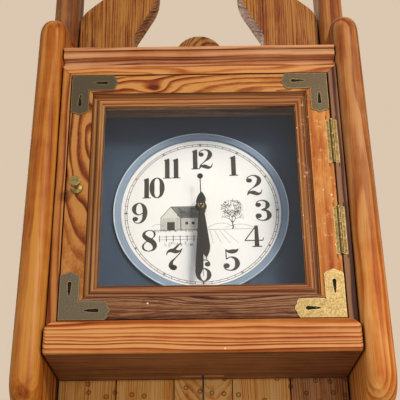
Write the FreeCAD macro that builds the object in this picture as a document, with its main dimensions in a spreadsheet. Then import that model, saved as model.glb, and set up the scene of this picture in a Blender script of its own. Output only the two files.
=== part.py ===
"""Pendulum wall clock of rustic pine: a square glazed door over a round dial, between two tall side boards.

Frame: millimetres, +X to the viewer's right, +Y into the wall, +Z up.  The origin is the centre of the
hanger hole, on the wall plane (Y = 0), so every piece is in front of the wall at negative Y.
The sheet "Sizes" holds the driving dimensions; the sheet "Places" works the positions out from them.
"""
import FreeCAD
import Part
import math
import os
import re

V = FreeCAD.Vector
doc = FreeCAD.newDocument("PendulumWallClock")

# ------------------------------------------------------------------ driving dimensions (mm, degrees)
SIZES = [
    # overall boards
    ("case_width", 370.0, "outside width of the case, between the side boards"),
    ("front_depth", 146.0, "wall to the front face of the door"),
    ("board_thick", 35.6, "side board thickness"),
    ("board_gap", 0.8, "joint between a side board and the case"),
    ("board_round", 16.5, "rounding of a side board's front edges"),
    ("board_top_proud", 9.0, "side board in front of the door face, at the top of its straight front"),
    ("board_low_proud", 21.0, "side board in front of the door face, at the bottom of its straight front"),
    ("board_rise", 92.0, "top of a side board's wide part above the top of the case"),
    ("board_fall", 61.0, "bottom of a side board's wide part below the shelf"),
    ("shoulder_radius", 38.0, "rounded corner at both ends of the wide part"),
    ("shoulder_cove", 24.0, "hollow where the wide part meets the narrow post"),
    ("post_depth", 62.0, "depth of the narrow ends of a side board"),
    ("post_top", 214.85, "top of the side boards above the cornice"),
    ("post_bottom", 303.35, "bottom of the side boards below the shelf"),
    ("post_end_round", 38.0, "rounding of the front corner at a side board's ends"),
    ("plank_thick", 36.0, "back plank thickness"),
    ("plank_side_gap", 0.6, "planks' outer joints in from the sides of the case"),
    ("plank_gap", 1.2, "open joint between two back planks"),
    ("plank_round", 1.0, "softened plank edges"),
    ("plank_bottom", 287.35, "bottom of the planks below the shelf"),
    # crest cut in the tops of the planks
    ("boss_height", 62.85, "centre of the middle plank's round top above the cornice"),
    ("hanger_drop", 10.0, "hanger hole below the centre of the middle plank's round top"),
    ("lobe_radius", 25.5, "round lobe at the top of each horn"),
    ("lobe_across", 88.0, "lobe centre from the middle of the clock"),
    ("lobe_height", 196.0, "lobe centre above the cornice"),
    ("horn_flank", 90.0, "inner flank of a horn, below the lobe"),
    ("horn_slope", 28.0, "lean of a horn's inner edge below the flank, in degrees"),
    ("horn_hollow", 30.0, "hollow at the foot of a horn's inner edge"),
    ("horn_foot_across", 100.0, "inner foot of a horn from the middle of the clock"),
    ("horn_foot_height", 72.85, "inner foot of a horn above the cornice"),
    ("horn_start_height", 122.85, "outer edge of a horn, where it leaves the side board, above the cornice"),
    ("horn_shoulder", 40.0, "round outer shoulder of a horn"),
    ("bay_height", 44.85, "floor of the bay between a horn and the middle plank, above the cornice"),
    # case
    ("case_thick", 12.0, "case sides and top"),
    ("door_gap", 1.5, "gap all round the door"),
    ("edge_round", 0.8, "softened edges of the joinery"),
    ("cornice_height", 31.5, "cornice board thickness"),
    ("cornice_proud", 2.0, "cornice in front of the door face"),
    ("shelf_thick", 43.0, "shelf below the door"),
    ("shelf_proud", 15.6, "shelf nosing in front of the door face"),
    ("nosing_radius", 15.0, "rounded top edge of the shelf"),
    ("shelf_low_round", 5.0, "rounded lower edge of the shelf"),
    ("end_round", 5.0, "rounded front corners of the shelf's ends"),
    ("rail_height", 38.0, "bottom rail"),
    ("rail_depth", 26.0, "bottom rail in front of the planks"),
    ("rail_round", 9.0, "rounded front edges of the bottom rail"),
    ("batten_height", 40.0, "batten that joins the planks inside the case"),
    ("batten_thick", 12.0, "batten thickness"),
    # door
    ("door_height", 344.3, "door height"),
    ("door_thick", 20.0, "door thickness"),
    ("member_width", 45.6, "width of the door's frame members"),
    ("member_flat", 28.5, "flat part of a frame member, from its outer edge"),
    ("glass_set", 10.0, "door face back to the glass"),
    ("glass_thick", 2.0, "glass thickness"),
    ("rebate", 7.0, "width of the glass rebate"),
    ("glass_play", 0.5, "room round the glass in its rebate"),
    ("bead_size", 6.0, "glazing bead"),
    # brackets, hinges, knob, catch
    ("bracket_arm", 61.5, "corner bracket arm"),
    ("bracket_shoulder", 55.6, "corner bracket arm up to the shoulders of its shaped end"),
    ("bracket_width", 24.0, "width of a bracket arm"),
    ("bracket_nose", 5.4, "radius of the round nose at a bracket arm's end"),
    ("bracket_hollow", 4.0, "radius of the hollows beside that nose"),
    ("bracket_thick", 1.3, "bracket sheet"),
    ("slot_head", 2.4, "radius of a bracket slot's round end"),
    ("slot_tail", 0.8, "half width of a bracket slot's narrow end"),
    ("hinge_length", 63.5, "hinge height"),
    ("hinge_width", 14.0, "hinge width across both leaves"),
    ("hinge_leaf", 1.2, "hinge leaf thickness"),
    ("hinge_barrel", 4.6, "hinge barrel diameter"),
    ("hinge_pin", 2.2, "hinge pin diameter"),
    ("hinge_wing", 11.0, "depth of the leaf's wing along the door edge"),
    ("hinge_upper", 73.4, "upper hinge below the top of the door"),
    ("hinge_lower", 80.9, "lower hinge above the bottom of the door"),
    ("pin_clearance", 0.05, "radial clearance of turning pins and tubes"),
    ("barrel_room", 0.5, "room round the hinge barrel"),
    ("knuckle_gap", 0.3, "gap between hinge knuckles"),
    ("kerf_length", 6.0, "saw kerf past the end of a hinge mortise"),
    ("kerf_width", 1.0, "saw kerf width"),
    ("knob_inset", 14.2, "knob in from the edge of the door"),
    ("knob_height", 2.0, "knob above the middle of the door"),
    ("knob_diameter", 14.3, "knob head diameter"),
    ("knob_length", 23.5, "knob out from the door face"),
    ("screw_radius", 1.5, "knob and panel screws"),
    ("catch_drop", 40.0, "magnetic catch below the middle of the door"),
    ("magnet_gap", 0.4, "gap between magnet and strike plate"),
    # dial
    ("dial_set", 67.0, "door face back to the dial"),
    ("dial_diameter", 213.6, "white dial disc"),
    ("pan_diameter", 234.5, "dial pan"),
    ("pan_lip", 2.6, "pan rim in front of the dial"),
    ("pan_thick", 0.8, "pan sheet"),
    ("dial_thick", 0.6, "dial card"),
    ("panel_thick", 4.0, "dial panel"),
    ("panel_play", 1.0, "room round the dial panel in the case"),
    ("cleat_width", 14.0, "cleats that carry the dial panel"),
    ("strip_height", 27.5, "strip across the top of the dial panel"),
    ("strip_thick", 8.0, "thickness of that strip"),
    ("spindle_hole", 4.0, "radius of the hole for the movement's neck"),
    # movement and hands
    ("move_width", 56.0, "movement width"),
    ("move_height", 78.0, "movement height"),
    ("move_depth", 17.0, "movement depth"),
    ("move_wall", 1.6, "movement wall"),
    ("move_above", 28.0, "movement above the hands' centre"),
    ("neck_radius", 3.9, "threaded neck"),
    ("neck_length", 9.5, "neck in front of the dial"),
    ("hour_tube_radius", 2.6, "hour tube"),
    ("minute_tube_radius", 1.8, "minute tube"),
    ("second_arbor_radius", 0.6, "second hand arbor"),
    ("hour_front", 13.0, "hour hand in front of the dial"),
    ("minute_front", 17.0, "minute hand in front of the dial"),
    ("second_front", 21.0, "second hand in front of the dial"),
    ("hand_thick", 0.6, "hand sheet"),
    ("hour_length", 77.0, "hour hand"),
    ("minute_length", 105.0, "minute hand"),
    ("second_length", 101.0, "second hand"),
    ("hour_turned", 175.0, "hour hand at rest, degrees clockwise from twelve"),
    ("minute_turned", 182.0, "minute hand at rest, degrees clockwise from twelve"),
    ("second_turned", 178.8, "second hand at rest, degrees clockwise from twelve"),
    ("minute_wheel_radius", 8.25, "minute wheel; the setting pinion is two thirds of it"),
    ("wheel_thick", 1.6, "minute wheel and setting pinion thickness"),
    ("wheel_play", 0.25, "gap between the two wheels"),
    ("battery_radius", 7.1, "AA cell"),
    ("battery_length", 50.0, "AA cell"),
    ("battery_play", 0.3, "room under the cell in its bay"),
    # pendulum
    ("pivot_above", 16.0, "pendulum pivot above the hands' centre"),
    ("swing_set", 5.0, "middle of the pendulum behind the movement's cover"),
    ("rod_radius", 1.2, "pendulum rod"),
    ("bob_above", 66.0, "middle of the bob above the bottom rail"),
    ("bob_radius", 33.0, "pendulum bob"),
    ("bob_thick", 11.0, "pendulum bob thickness"),
    ("slot_width", 56.0, "pendulum slot in the shelf"),
    ("slot_depth", 11.0, "pendulum slot, front to back"),
    # hanger
    ("hanger_hole", 5.0, "hanger hole radius"),
    ("hanger_width", 24.0, "hanger plate width"),
    ("hanger_height", 56.0, "hanger plate height"),
    ("hanger_thick", 2.0, "hanger plate thickness"),
    ("head_room", 9.0, "depth of the pocket for the wall screw's head"),
]

PLACES = [
    ("face_y", "-front_depth"),
    ("mid_z", "hanger_drop - boss_height - cornice_height - case_thick - door_gap - door_height / 2"),
    ("case_half", "case_width / 2"),
    ("case_in", "case_half - case_thick"),
    ("board_in", "case_half + board_gap"),
    ("board_out", "board_in + board_thick"),
    ("plank_front", "-plank_thick"),
    ("plank_pitch", "(case_width - 2 * plank_side_gap) / 5"),
    ("door_half", "case_in - door_gap"),
    ("door_half_high", "door_height / 2"),
    ("door_top", "mid_z + door_half_high"),
    ("door_bottom", "mid_z - door_half_high"),
    ("door_back", "face_y + door_thick"),
    ("case_under", "door_top + door_gap"),
    ("case_over", "case_under + case_thick"),
    ("cornice_over", "case_over + cornice_height"),
    ("shelf_over", "door_bottom - door_gap"),
    ("shelf_under", "shelf_over - shelf_thick"),
    ("shelf_front", "face_y - shelf_proud"),
    ("foot_z", "shelf_under - plank_bottom"),
    ("rail_over", "foot_z + rail_height"),
    ("open_half", "door_half - member_width"),
    ("open_half_high", "door_half_high - member_width"),
    ("glass_half", "open_half + rebate - glass_play"),
    ("glass_half_high", "open_half_high + rebate - glass_play"),
    ("glass_front", "face_y + glass_set"),
    ("glass_back", "glass_front + glass_thick"),
    ("upper_hinge_z", "door_top - hinge_upper - hinge_length / 2"),
    ("lower_hinge_z", "door_bottom + hinge_lower + hinge_length / 2"),
    ("knob_x", "-door_half + knob_inset"),
    ("pin_x", "case_in - door_gap / 2"),
    ("pin_y", "face_y - 0.3"),
    ("dial_y", "face_y + dial_set"),
    ("card_back", "dial_y + dial_thick"),
    ("pan_back", "card_back + pan_thick"),
    ("panel_back", "pan_back + panel_thick"),
    ("move_back", "panel_back + move_depth"),
    ("cover_back", "move_back + move_wall"),
    ("move_top", "mid_z + move_above"),
    ("move_low", "move_top - move_height"),
    ("pivot_z", "mid_z + pivot_above"),
    ("swing_y", "cover_back + swing_set"),
    ("bob_z", "rail_over + bob_above"),
    ("catch_z", "mid_z - catch_drop"),
    ("knob_z", "mid_z + knob_height"),
    ("battery_z", "move_low + battery_radius + move_wall + battery_play"),
    ("set_knob_z", "mid_z - minute_wheel_radius * 5 / 3 - wheel_play"),
]
NAMES = {name: "Sizes." + name for name, _, _ in SIZES}
NAMES.update({name: "Places." + name for name, _ in PLACES})


def full(text):
    """A formula with the sheet put in front of each name."""
    return re.sub(r"[a-z_][a-z_0-9]*", lambda word: NAMES.get(word.group(0), word.group(0)), text)


def make_sheet(label, rows):
    sheet = doc.addObject("Spreadsheet::Sheet", label)
    for number, (name, content, note) in enumerate(rows, start=1):
        sheet.set("A%d" % number, note)
        sheet.set("B%d" % number, content)
        sheet.setAlias("B%d" % number, name)
    return sheet


sizes = make_sheet("Sizes", [(name, "%g" % value, note) for name, value, note in SIZES])
places = make_sheet("Places", [(name, "=" + full(formula), formula) for name, formula in PLACES])
doc.recompute()


class Values:
    """Reads any named size or place as a number, for outlines that are worked out in code."""
    def __getattr__(self, name):
        return float((sizes if NAMES[name].startswith("Sizes") else places).get(name))


v = Values()
parts = {}


def part(label, thing):
    """Marks a document object as a sub-part and gives it its label."""
    thing.Label = label
    parts[label] = thing
    return thing


# ------------------------------------------------------------------ bound primitives
counter = {"made": 0}


def fresh(kind):
    counter["made"] += 1
    return doc.addObject(kind, "Item%03d" % counter["made"])


def bind(thing, **formulas):
    """Binds properties to formulas on the sheets; a double underscore stands for a dot."""
    for name, formula in formulas.items():
        thing.setExpression(name.replace("__", "."), full(str(formula)))
    return thing


def block(x0, x1, y0, y1, z0, z1):
    """A box between two corners, each given as a formula."""
    return bind(fresh("Part::Box"), Length="(%s) - (%s)" % (x1, x0), Width="(%s) - (%s)" % (y1, y0),
                Height="(%s) - (%s)" % (z1, z0), Placement__Base__x=x0, Placement__Base__y=y0,
                Placement__Base__z=z0)


TURNS = {"z": FreeCAD.Rotation(), "y": FreeCAD.Rotation(V(1, 0, 0), -90), "x": FreeCAD.Rotation(V(0, 1, 0), 90)}


def rod(axis, radius, length, x, y, z):
    """A cylinder that starts at x, y, z and runs along +axis."""
    thing = fresh("Part::Cylinder")
    thing.Placement = FreeCAD.Placement(V(), TURNS[axis])
    return bind(thing, Radius=radius, Height=length, Placement__Base__x=x, Placement__Base__y=y,
                Placement__Base__z=z)


def cone(axis, radius0, radius1, length, x, y, z):
    thing = fresh("Part::Cone")
    thing.Placement = FreeCAD.Placement(V(), TURNS[axis])
    return bind(thing, Radius1=radius0, Radius2=radius1, Height=length, Placement__Base__x=x,
                Placement__Base__y=y, Placement__Base__z=z)


def join(*things):
    if len(things) == 1:
        return things[0]
    thing = fresh("Part::MultiFuse")
    thing.Shapes = list(things)
    thing.Refine = True
    return thing


def cut(base, *tools):
    thing = fresh("Part::Cut")
    thing.Base = base
    thing.Tool = join(*tools)
    thing.Refine = True
    return thing


def common(*things):
    thing = fresh("Part::MultiCommon")
    thing.Shapes = list(things)
    thing.Refine = True
    return thing


def group(*things):
    """Separate solids in one node."""
    thing = fresh("Part::Compound")
    thing.Links = list(things)
    return thing


def mirror_x(source):
    thing = fresh("Part::Mirroring")
    thing.Source = source
    thing.Normal = V(1, 0, 0)
    return thing


def mirror_z(source):
    """Mirror image in the level plane through the middle of the door."""
    thing = fresh("Part::Mirroring")
    thing.Source = source
    thing.Normal = V(0, 0, 1)
    return bind(thing, Base__z="mid_z")


def soften(source, radius, keep=lambda edge: True):
    """Fillets the edges that the test keeps."""
    doc.recompute()
    chosen = [number for number, edge in enumerate(source.Shape.Edges, start=1) if keep(edge)]
    thing = fresh("Part::Fillet")
    thing.Base = source
    thing.Edges = [(number, radius, radius) for number in chosen]
    return thing


# ------------------------------------------------------------------ sketched bodies
def outline(start, *steps):
    """A closed outline: (x, y) is a straight run, (mx, my, x, y) an arc through a middle point."""
    edges, here = [], V(start[0], start[1], 0)
    for step in steps + (start,):
        end = V(step[-2], step[-1], 0)
        if len(step) == 4:
            edges.append(Part.Arc(here, V(step[0], step[1], 0), end))
        elif here.distanceToPoint(end) > 1e-6:
            edges.append(Part.LineSegment(here, end))
        here = end
    return edges


def sketch_on(body, role, edges, offset):
    plane = [item for item in body.Origin.OriginFeatures if item.Role == role][0]
    sketch = body.newObject("Sketcher::SketchObject", body.Name + "Sketch")
    sketch.AttachmentSupport = [(plane, "")]
    sketch.MapMode = "FlatFace"
    sketch.setExpression("AttachmentOffset.Base.z", full(offset))
    sketch.addGeometry(edges)
    return sketch


def pad(role, edges, low, high):
    """A body: an outline on an origin plane, padded between two formulas along the plane's axis."""
    body = fresh("PartDesign::Body")
    offset = "-(%s)" % high if role == "XZ_Plane" else low
    sketch = sketch_on(body, role, edges, offset)
    feature = body.newObject("PartDesign::Pad", body.Name + "Pad")
    feature.Profile = sketch
    feature.setExpression("Length", full("(%s) - (%s)" % (high, low)))
    return body


def turned(edges, x, z):
    """A body turned about a line along Y through x, z: the outline holds (radius, y) points."""
    body = fresh("PartDesign::Body")
    sketch = sketch_on(body, "XY_Plane", edges, "0")
    feature = body.newObject("PartDesign::Revolution", body.Name + "Turn")
    feature.Profile = sketch
    feature.ReferenceAxis = (sketch, ["V_Axis"])
    feature.Angle = 360
    return bind(body, Placement__Base__x=x, Placement__Base__z=z)


def on_arc(cx, cy, radius, degrees):
    return (cx + radius * math.cos(math.radians(degrees)), cy + radius * math.sin(math.radians(degrees)))


# ------------------------------------------------------------------ side boards
def make_side_boards():
    """A wide bullnosed board for the case, on a narrower post that runs past it at both ends."""
    inside, post, round_off, cove = -v.post_depth / 2, -v.post_depth, v.shoulder_radius, v.shoulder_cove
    high, deep = v.case_over + v.board_rise, v.shelf_under - v.board_fall
    top = (v.face_y - v.board_top_proud, high - round_off)
    low = (v.face_y - v.board_low_proud, deep + round_off)
    lean = math.degrees(math.atan2(top[0] - low[0], top[1] - low[1]))
    across, along = round_off * math.cos(math.radians(lean)), round_off * math.sin(math.radians(lean))
    c_top, c_low = (top[0] + across, high - round_off), (low[0] + across, deep + round_off)
    edges = outline(
        (inside, deep - cove), (inside, high + cove), (post, high + cove),
        on_arc(post - cove, high + cove, cove, -45) + (post - cove, high),
        (c_top[0], high),
        on_arc(*c_top, round_off, 135 - lean / 2) + (top[0], c_top[1] + along),
        (low[0], c_low[1] + along),
        on_arc(*c_low, round_off, 225 - lean / 2) + (c_low[0], deep),
        (post - cove, deep),
        on_arc(post - cove, deep - cove, cove, 45) + (post, deep - cove))
    wide = pad("YZ_Plane", edges, "-board_out", "-board_in")
    wide = soften(wide, v.board_round, lambda edge: edge.BoundBox.YMax < post + 1 and edge.BoundBox.XLength < 1e-3)
    end_round = v.post_end_round
    front, back = -v.post_depth, 0.0
    high, deep = v.cornice_over + v.post_top, v.shelf_under - v.post_bottom
    post_edges = outline(
        (back, deep), (back, high), (front + end_round, high),
        on_arc(front + end_round, high - end_round, end_round, 135) + (front, high - end_round),
        (front, deep + end_round),
        on_arc(front + end_round, deep + end_round, end_round, 225) + (front + end_round, deep))
    narrow = pad("YZ_Plane", post_edges, "-board_out", "-board_in")
    narrow = soften(narrow, v.board_round, lambda edge: edge.BoundBox.YMin < front + 1 and edge.BoundBox.XLength < 1e-3)
    left = join(wide, narrow)
    part("left_side_board", left)
    part("right_side_board", mirror_x(left))


# ------------------------------------------------------------------ back planks, shaped into the crest
def make_planks():
    half = (v.plank_pitch - v.plank_gap) / 2
    foot, z0 = v.foot_z, v.cornice_over
    lobe = (-v.lobe_across, z0 + v.lobe_height)
    r_lobe = v.lobe_radius
    foot_point = (-v.horn_foot_across, z0 + v.horn_foot_height)
    start = (-2 * v.plank_pitch - half, z0 + v.horn_start_height)

    # the outer shoulder and the lobe share a tangent line; n is the direction from both centres to it
    shoulder = (start[0] + v.horn_shoulder, start[1])
    far = math.hypot(lobe[0] - shoulder[0], lobe[1] - shoulder[1])
    n = math.degrees(math.atan2(lobe[1] - shoulder[1], lobe[0] - shoulder[0])
                     + math.acos((v.horn_shoulder - r_lobe) / far))
    # the flank takes over from the lobe where both stand upright, then a leaning line runs to the hollow, and the
    # hollow ends upright above the horn's foot
    flank = (lobe[0] + r_lobe - v.horn_flank, lobe[1])
    slope = v.horn_slope
    lean_from = on_arc(*flank, v.horn_flank, -slope)
    lean_to_x = foot_point[0] + v.horn_hollow * (1 - math.cos(math.radians(slope)))
    lean_to = (lean_to_x, lean_from[1] - (lean_from[0] - lean_to_x) / math.tan(math.radians(slope)))
    hollow = (foot_point[0] + v.horn_hollow, lean_to[1] - v.horn_hollow * math.sin(math.radians(slope)))
    bay = z0 + v.bay_height
    bay_radius = foot_point[1] - bay
    side = -v.plank_pitch / 2
    horn = outline(
        (start[0], foot), start,
        on_arc(*shoulder, v.horn_shoulder, (180 + n) / 2) + on_arc(*shoulder, v.horn_shoulder, n),
        on_arc(*lobe, r_lobe, n),
        on_arc(*lobe, r_lobe, n / 2) + on_arc(*lobe, r_lobe, 0),
        on_arc(*flank, v.horn_flank, -slope / 2) + lean_from,
        lean_to,
        on_arc(*hollow, v.horn_hollow, 180 - slope / 2) + (foot_point[0], hollow[1]),
        foot_point,
        on_arc(foot_point[0] + bay_radius, foot_point[1], bay_radius, 225) + (foot_point[0] + bay_radius, bay),
        (side, bay), (side, foot))
    horn_body = pad("XZ_Plane", horn, "-plank_thick", "0")
    boss_z = z0 + v.boss_height
    boss = outline((-half, foot), (-half, boss_z), (0, boss_z + half, half, boss_z), (half, foot))
    planks = {}
    for number in (1, 2):
        centre = "%d * plank_pitch" % (number - 3)
        low, high = "%s - (plank_pitch - plank_gap) / 2" % centre, "%s + (plank_pitch - plank_gap) / 2" % centre
        open_part = block(low, high, "-plank_thick - 1", "1", "foot_z - 1", "cornice_over")
        # behind the cornice the open joint ends: from there up the two planks of a horn are glued edge to edge
        glued_part = block(low if number == 1 else "%s - plank_pitch / 2" % centre,
                           "%s + plank_pitch / 2" % centre if number == 1 else high, "-plank_thick - 1", "1",
                           "cornice_over", "cornice_over + lobe_height + lobe_radius + 1")
        planks[number] = common(horn_body, join(open_part, glued_part))
    planks[3] = pad("XZ_Plane", boss, "-plank_thick", "0")
    upright = lambda edge: (edge.BoundBox.YMax < v.plank_front + 0.01 and edge.BoundBox.ZLength > 100
                            and edge.BoundBox.ZMin < v.mid_z)
    for number in (1, 2, 3):
        planks[number] = soften(planks[number], v.plank_round, upright)
    planks[4] = mirror_x(planks[2])
    planks[5] = mirror_x(planks[1])
    plate_seat = block("-hanger_width / 2 - 0.2", "hanger_width / 2 + 0.2", "-hanger_thick", "1",
                       "-hanger_height / 2 - 0.2", "hanger_height / 2 + 0.2")
    head_pocket = block("-hanger_hole - 3", "hanger_hole + 3", "-hanger_thick - head_room", "0",
                        "-hanger_hole - 3", "hanger_hole + 8")
    screw_holes = [rod("y", "1.5", "14", "0", "-hanger_thick - 14", "%d * hanger_height * 0.38" % side)
                   for side in (-1, 1)]
    planks[3] = cut(planks[3], plate_seat, head_pocket, *screw_holes)
    for number in range(1, 6):
        part("back_plank_%d" % number, planks[number])


# ------------------------------------------------------------------ case
def make_case():
    """Top and sides, mitred at the top; the sides' lower ends are mitred into the shelf."""
    out, inner = v.case_half, v.case_in
    over, under = v.case_over, v.case_under
    shelf, lower = v.shelf_over, v.shelf_over - v.case_thick
    side = pad("XZ_Plane", outline((-out, lower), (-out, over), (-inner, under), (-inner, shelf)),
               "face_y", "plank_front")
    soft = lambda edge: edge.BoundBox.YMax < v.face_y + 0.01
    side = soften(side, v.edge_round, soft)
    top = pad("XZ_Plane", outline((-out, over), (out, over), (inner, under), (-inner, under)),
              "face_y", "plank_front")
    part("case_top", soften(top, v.edge_round, soft))
    part("case_left_side", side)
    right = mirror_x(side)
    part("case_right_side", cut(right, *hinge_cuts("case")))


def make_cornice():
    """A level board with a moulded front: fillet, step, round, cove and a lower fillet."""
    y0, z0 = v.face_y - v.cornice_proud, v.case_over
    rise = v.cornice_height
    back = v.plank_front
    edges = outline(
        (back, z0), (back, z0 + rise), (y0, z0 + rise), (y0, z0 + rise - 4.5), (y0 + 2.2, z0 + rise - 5.2),
        (y0 + 2.2, z0 + rise - 6.8),
        (y0 + 0.4, z0 + rise - 11.5, y0 + 2.4, z0 + rise - 16.2),
        (y0 + 5.6, z0 + rise - 17.0),
        (y0 + 9.6, z0 + rise - 21.5, y0 + 6.2, z0 + rise - 26.4),
        (y0 + 3.6, z0 + rise - 27.2), (y0 + 3.6, z0))
    part("cornice_moulding", pad("YZ_Plane", edges, "-case_half", "case_half"))


def make_shelf():
    """The board under the door: rounded nosing, mitred shoulders for the case sides, pendulum slot."""
    front, over, under, back = v.shelf_front, v.shelf_over, v.shelf_under, v.plank_front
    big, small = v.nosing_radius, v.shelf_low_round
    edges = outline(
        (back, under), (back, over), (front + big, over),
        on_arc(front + big, over - big, big, 135) + (front, over - big),
        (front, under + small),
        on_arc(front + small, under + small, small, 225) + (front + small, under))
    board = pad("YZ_Plane", edges, "-case_half", "case_half")
    out, inner, drop = v.case_half, v.case_in, v.case_thick
    wedge = pad("XZ_Plane", outline((-out - 1, over - drop - 1), (-out - 1, over + 1), (-inner + 1, over + 1)),
                "shelf_front - 1", "plank_front + 1")
    slot = block("-slot_width / 2", "slot_width / 2", "swing_y - slot_depth / 2", "swing_y + slot_depth / 2",
                 "shelf_under - 1", "shelf_over + 1")
    board = soften(board, v.end_round, lambda edge: edge.BoundBox.ZLength > v.shelf_thick / 3
                   and edge.BoundBox.YMax < front + 1 and edge.BoundBox.XLength < 0.01)
    part("case_shelf", cut(board, wedge, mirror_x(wedge), slot))


def make_rails():
    rail = block("-case_half", "case_half", "plank_front - rail_depth", "plank_front", "foot_z", "rail_over")
    rail = soften(rail, v.rail_round, lambda edge: edge.BoundBox.YMax < v.plank_front - v.rail_depth + 0.01
                  and edge.BoundBox.XLength > 50)
    part("bottom_rail", rail)
    batten = block("-case_in + 6", "case_in - 6", "plank_front - batten_thick", "plank_front",
                   "case_under - batten_height - 30", "case_under - 30")
    part("plank_batten", soften(batten, v.edge_round))


def make_hanger():
    plate = block("-hanger_width / 2", "hanger_width / 2", "-hanger_thick", "0", "-hanger_height / 2",
                  "hanger_height / 2")
    plate = soften(plate, 4.0, lambda edge: edge.BoundBox.YLength > v.hanger_thick * 0.9)
    hole = rod("y", "hanger_hole", "hanger_thick + 2", "0", "-hanger_thick - 1", "0")
    ends = [cone("y", "1.6", "3.2", "1.8", "0", "-1.8", "%d * hanger_height * 0.38" % side) for side in (-1, 1)]
    shanks = [rod("y", "1.6", "hanger_thick", "0", "-hanger_thick", "%d * hanger_height * 0.38" % side)
              for side in (-1, 1)]
    part("hanger_plate", cut(plate, hole, *ends, *shanks))
    screws = []
    for side in (-1, 1):
        z = "%d * hanger_height * 0.38" % side
        screws.append(join(cone("y", "1.45", "2.95", "1.5", "0", "-1.6", z), rod("y", "1.45", "14", "0", "-15.6", z)))
    part("hanger_screws", group(*screws))


# ------------------------------------------------------------------ door
def member_profile():
    """Section of a frame member: (inward from the outer edge, back from the door face)."""
    width, flat, thick = v.member_width, v.member_flat, v.door_thick
    rebate, seat, soft = v.rebate, v.glass_set, v.edge_round
    return [(soft, 0.0), (flat, 0.0), (flat, 1.4), (flat + 1.8, 1.4),
            (flat + 2.6, 5.2, flat + 6.2, 6.0), (flat + 7.4, 6.0),
            (flat + 10.4, 4.9, flat + 13.2, 7.0), (width, 8.0), (width, seat), (width - rebate, seat),
            (width - rebate, thick), (0.0, thick), (0.0, soft)]


def placed(profile, place):
    """Moves a list of outline steps through a function of (inward, back)."""
    moved = []
    for step in profile:
        pairs = [place(*step[i:i + 2]) for i in range(0, len(step), 2)]
        moved.append(sum(pairs, ()))
    return outline(moved[0], *moved[1:])


def make_door_frame():
    """Four members of one moulded section, mitred at the corners."""
    half, high = v.door_half, v.door_half_high
    z0, width, y0 = v.mid_z, v.member_width, v.face_y
    upright = pad("XY_Plane", placed(member_profile(), lambda a, b: (-half + a, y0 + b)), "door_bottom", "door_top")
    level = pad("YZ_Plane", placed(member_profile(), lambda a, b: (y0 + b, z0 + high - a)), "-door_half", "door_half")
    deep = ("face_y - 1", "door_back + 1")
    left_mask = pad("XZ_Plane", outline((-half, z0 - high), (-half, z0 + high), (-half + width, z0 + high - width),
                                        (-half + width, z0 - high + width)), *deep)
    top_mask = pad("XZ_Plane", outline((-half, z0 + high), (half, z0 + high), (half - width, z0 + high - width),
                                       (-half + width, z0 + high - width)), *deep)
    left, top = common(upright, left_mask), common(level, top_mask)
    knob_bore = rod("y", "screw_radius", "door_thick + 2", "knob_x", "face_y - 1", "knob_z")
    strike_seat = block("-door_half + 6", "-door_half + 30", "door_back - 1.2", "door_back + 1", "catch_z - 8",
                        "catch_z + 8")
    left = cut(left, nail_shank(bracket_nails()[1]), mirror_z(nail_shank(bracket_nails()[1])))
    top = cut(top, nail_shank(bracket_nails()[0]), mirror_x(nail_shank(bracket_nails()[0])))
    part("door_left_stile", cut(left, knob_bore, strike_seat))
    part("door_right_stile", cut(mirror_x(left), *hinge_cuts("door")))
    part("door_top_rail", top)
    part("door_bottom_rail", mirror_z(top))


def make_glazing():
    part("door_glass", block("-glass_half", "glass_half", "glass_front", "glass_back", "mid_z - glass_half_high",
                             "mid_z + glass_half_high"))
    seat, high = "(open_half + rebate)", "(open_half_high + rebate)"
    size, back = "bead_size", "glass_back + bead_size"
    soft = lambda edge: edge.BoundBox.YMin > v.glass_back + v.bead_size - 0.01
    upright = block("-%s" % seat, "-%s + %s" % (seat, size), "glass_back", back, "mid_z - %s" % high, "mid_z + %s" % high)
    upright = soften(upright, v.edge_round, soft)
    part("glass_beads_upright", group(upright, mirror_x(upright)))
    level = block("-%s + %s" % (seat, size), "%s - %s" % (seat, size), "glass_back", back,
                  "mid_z + %s - %s" % (high, size), "mid_z + %s" % high)
    level = soften(level, v.edge_round, soft)
    part("glass_beads_level", group(level, mirror_z(level)))


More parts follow.
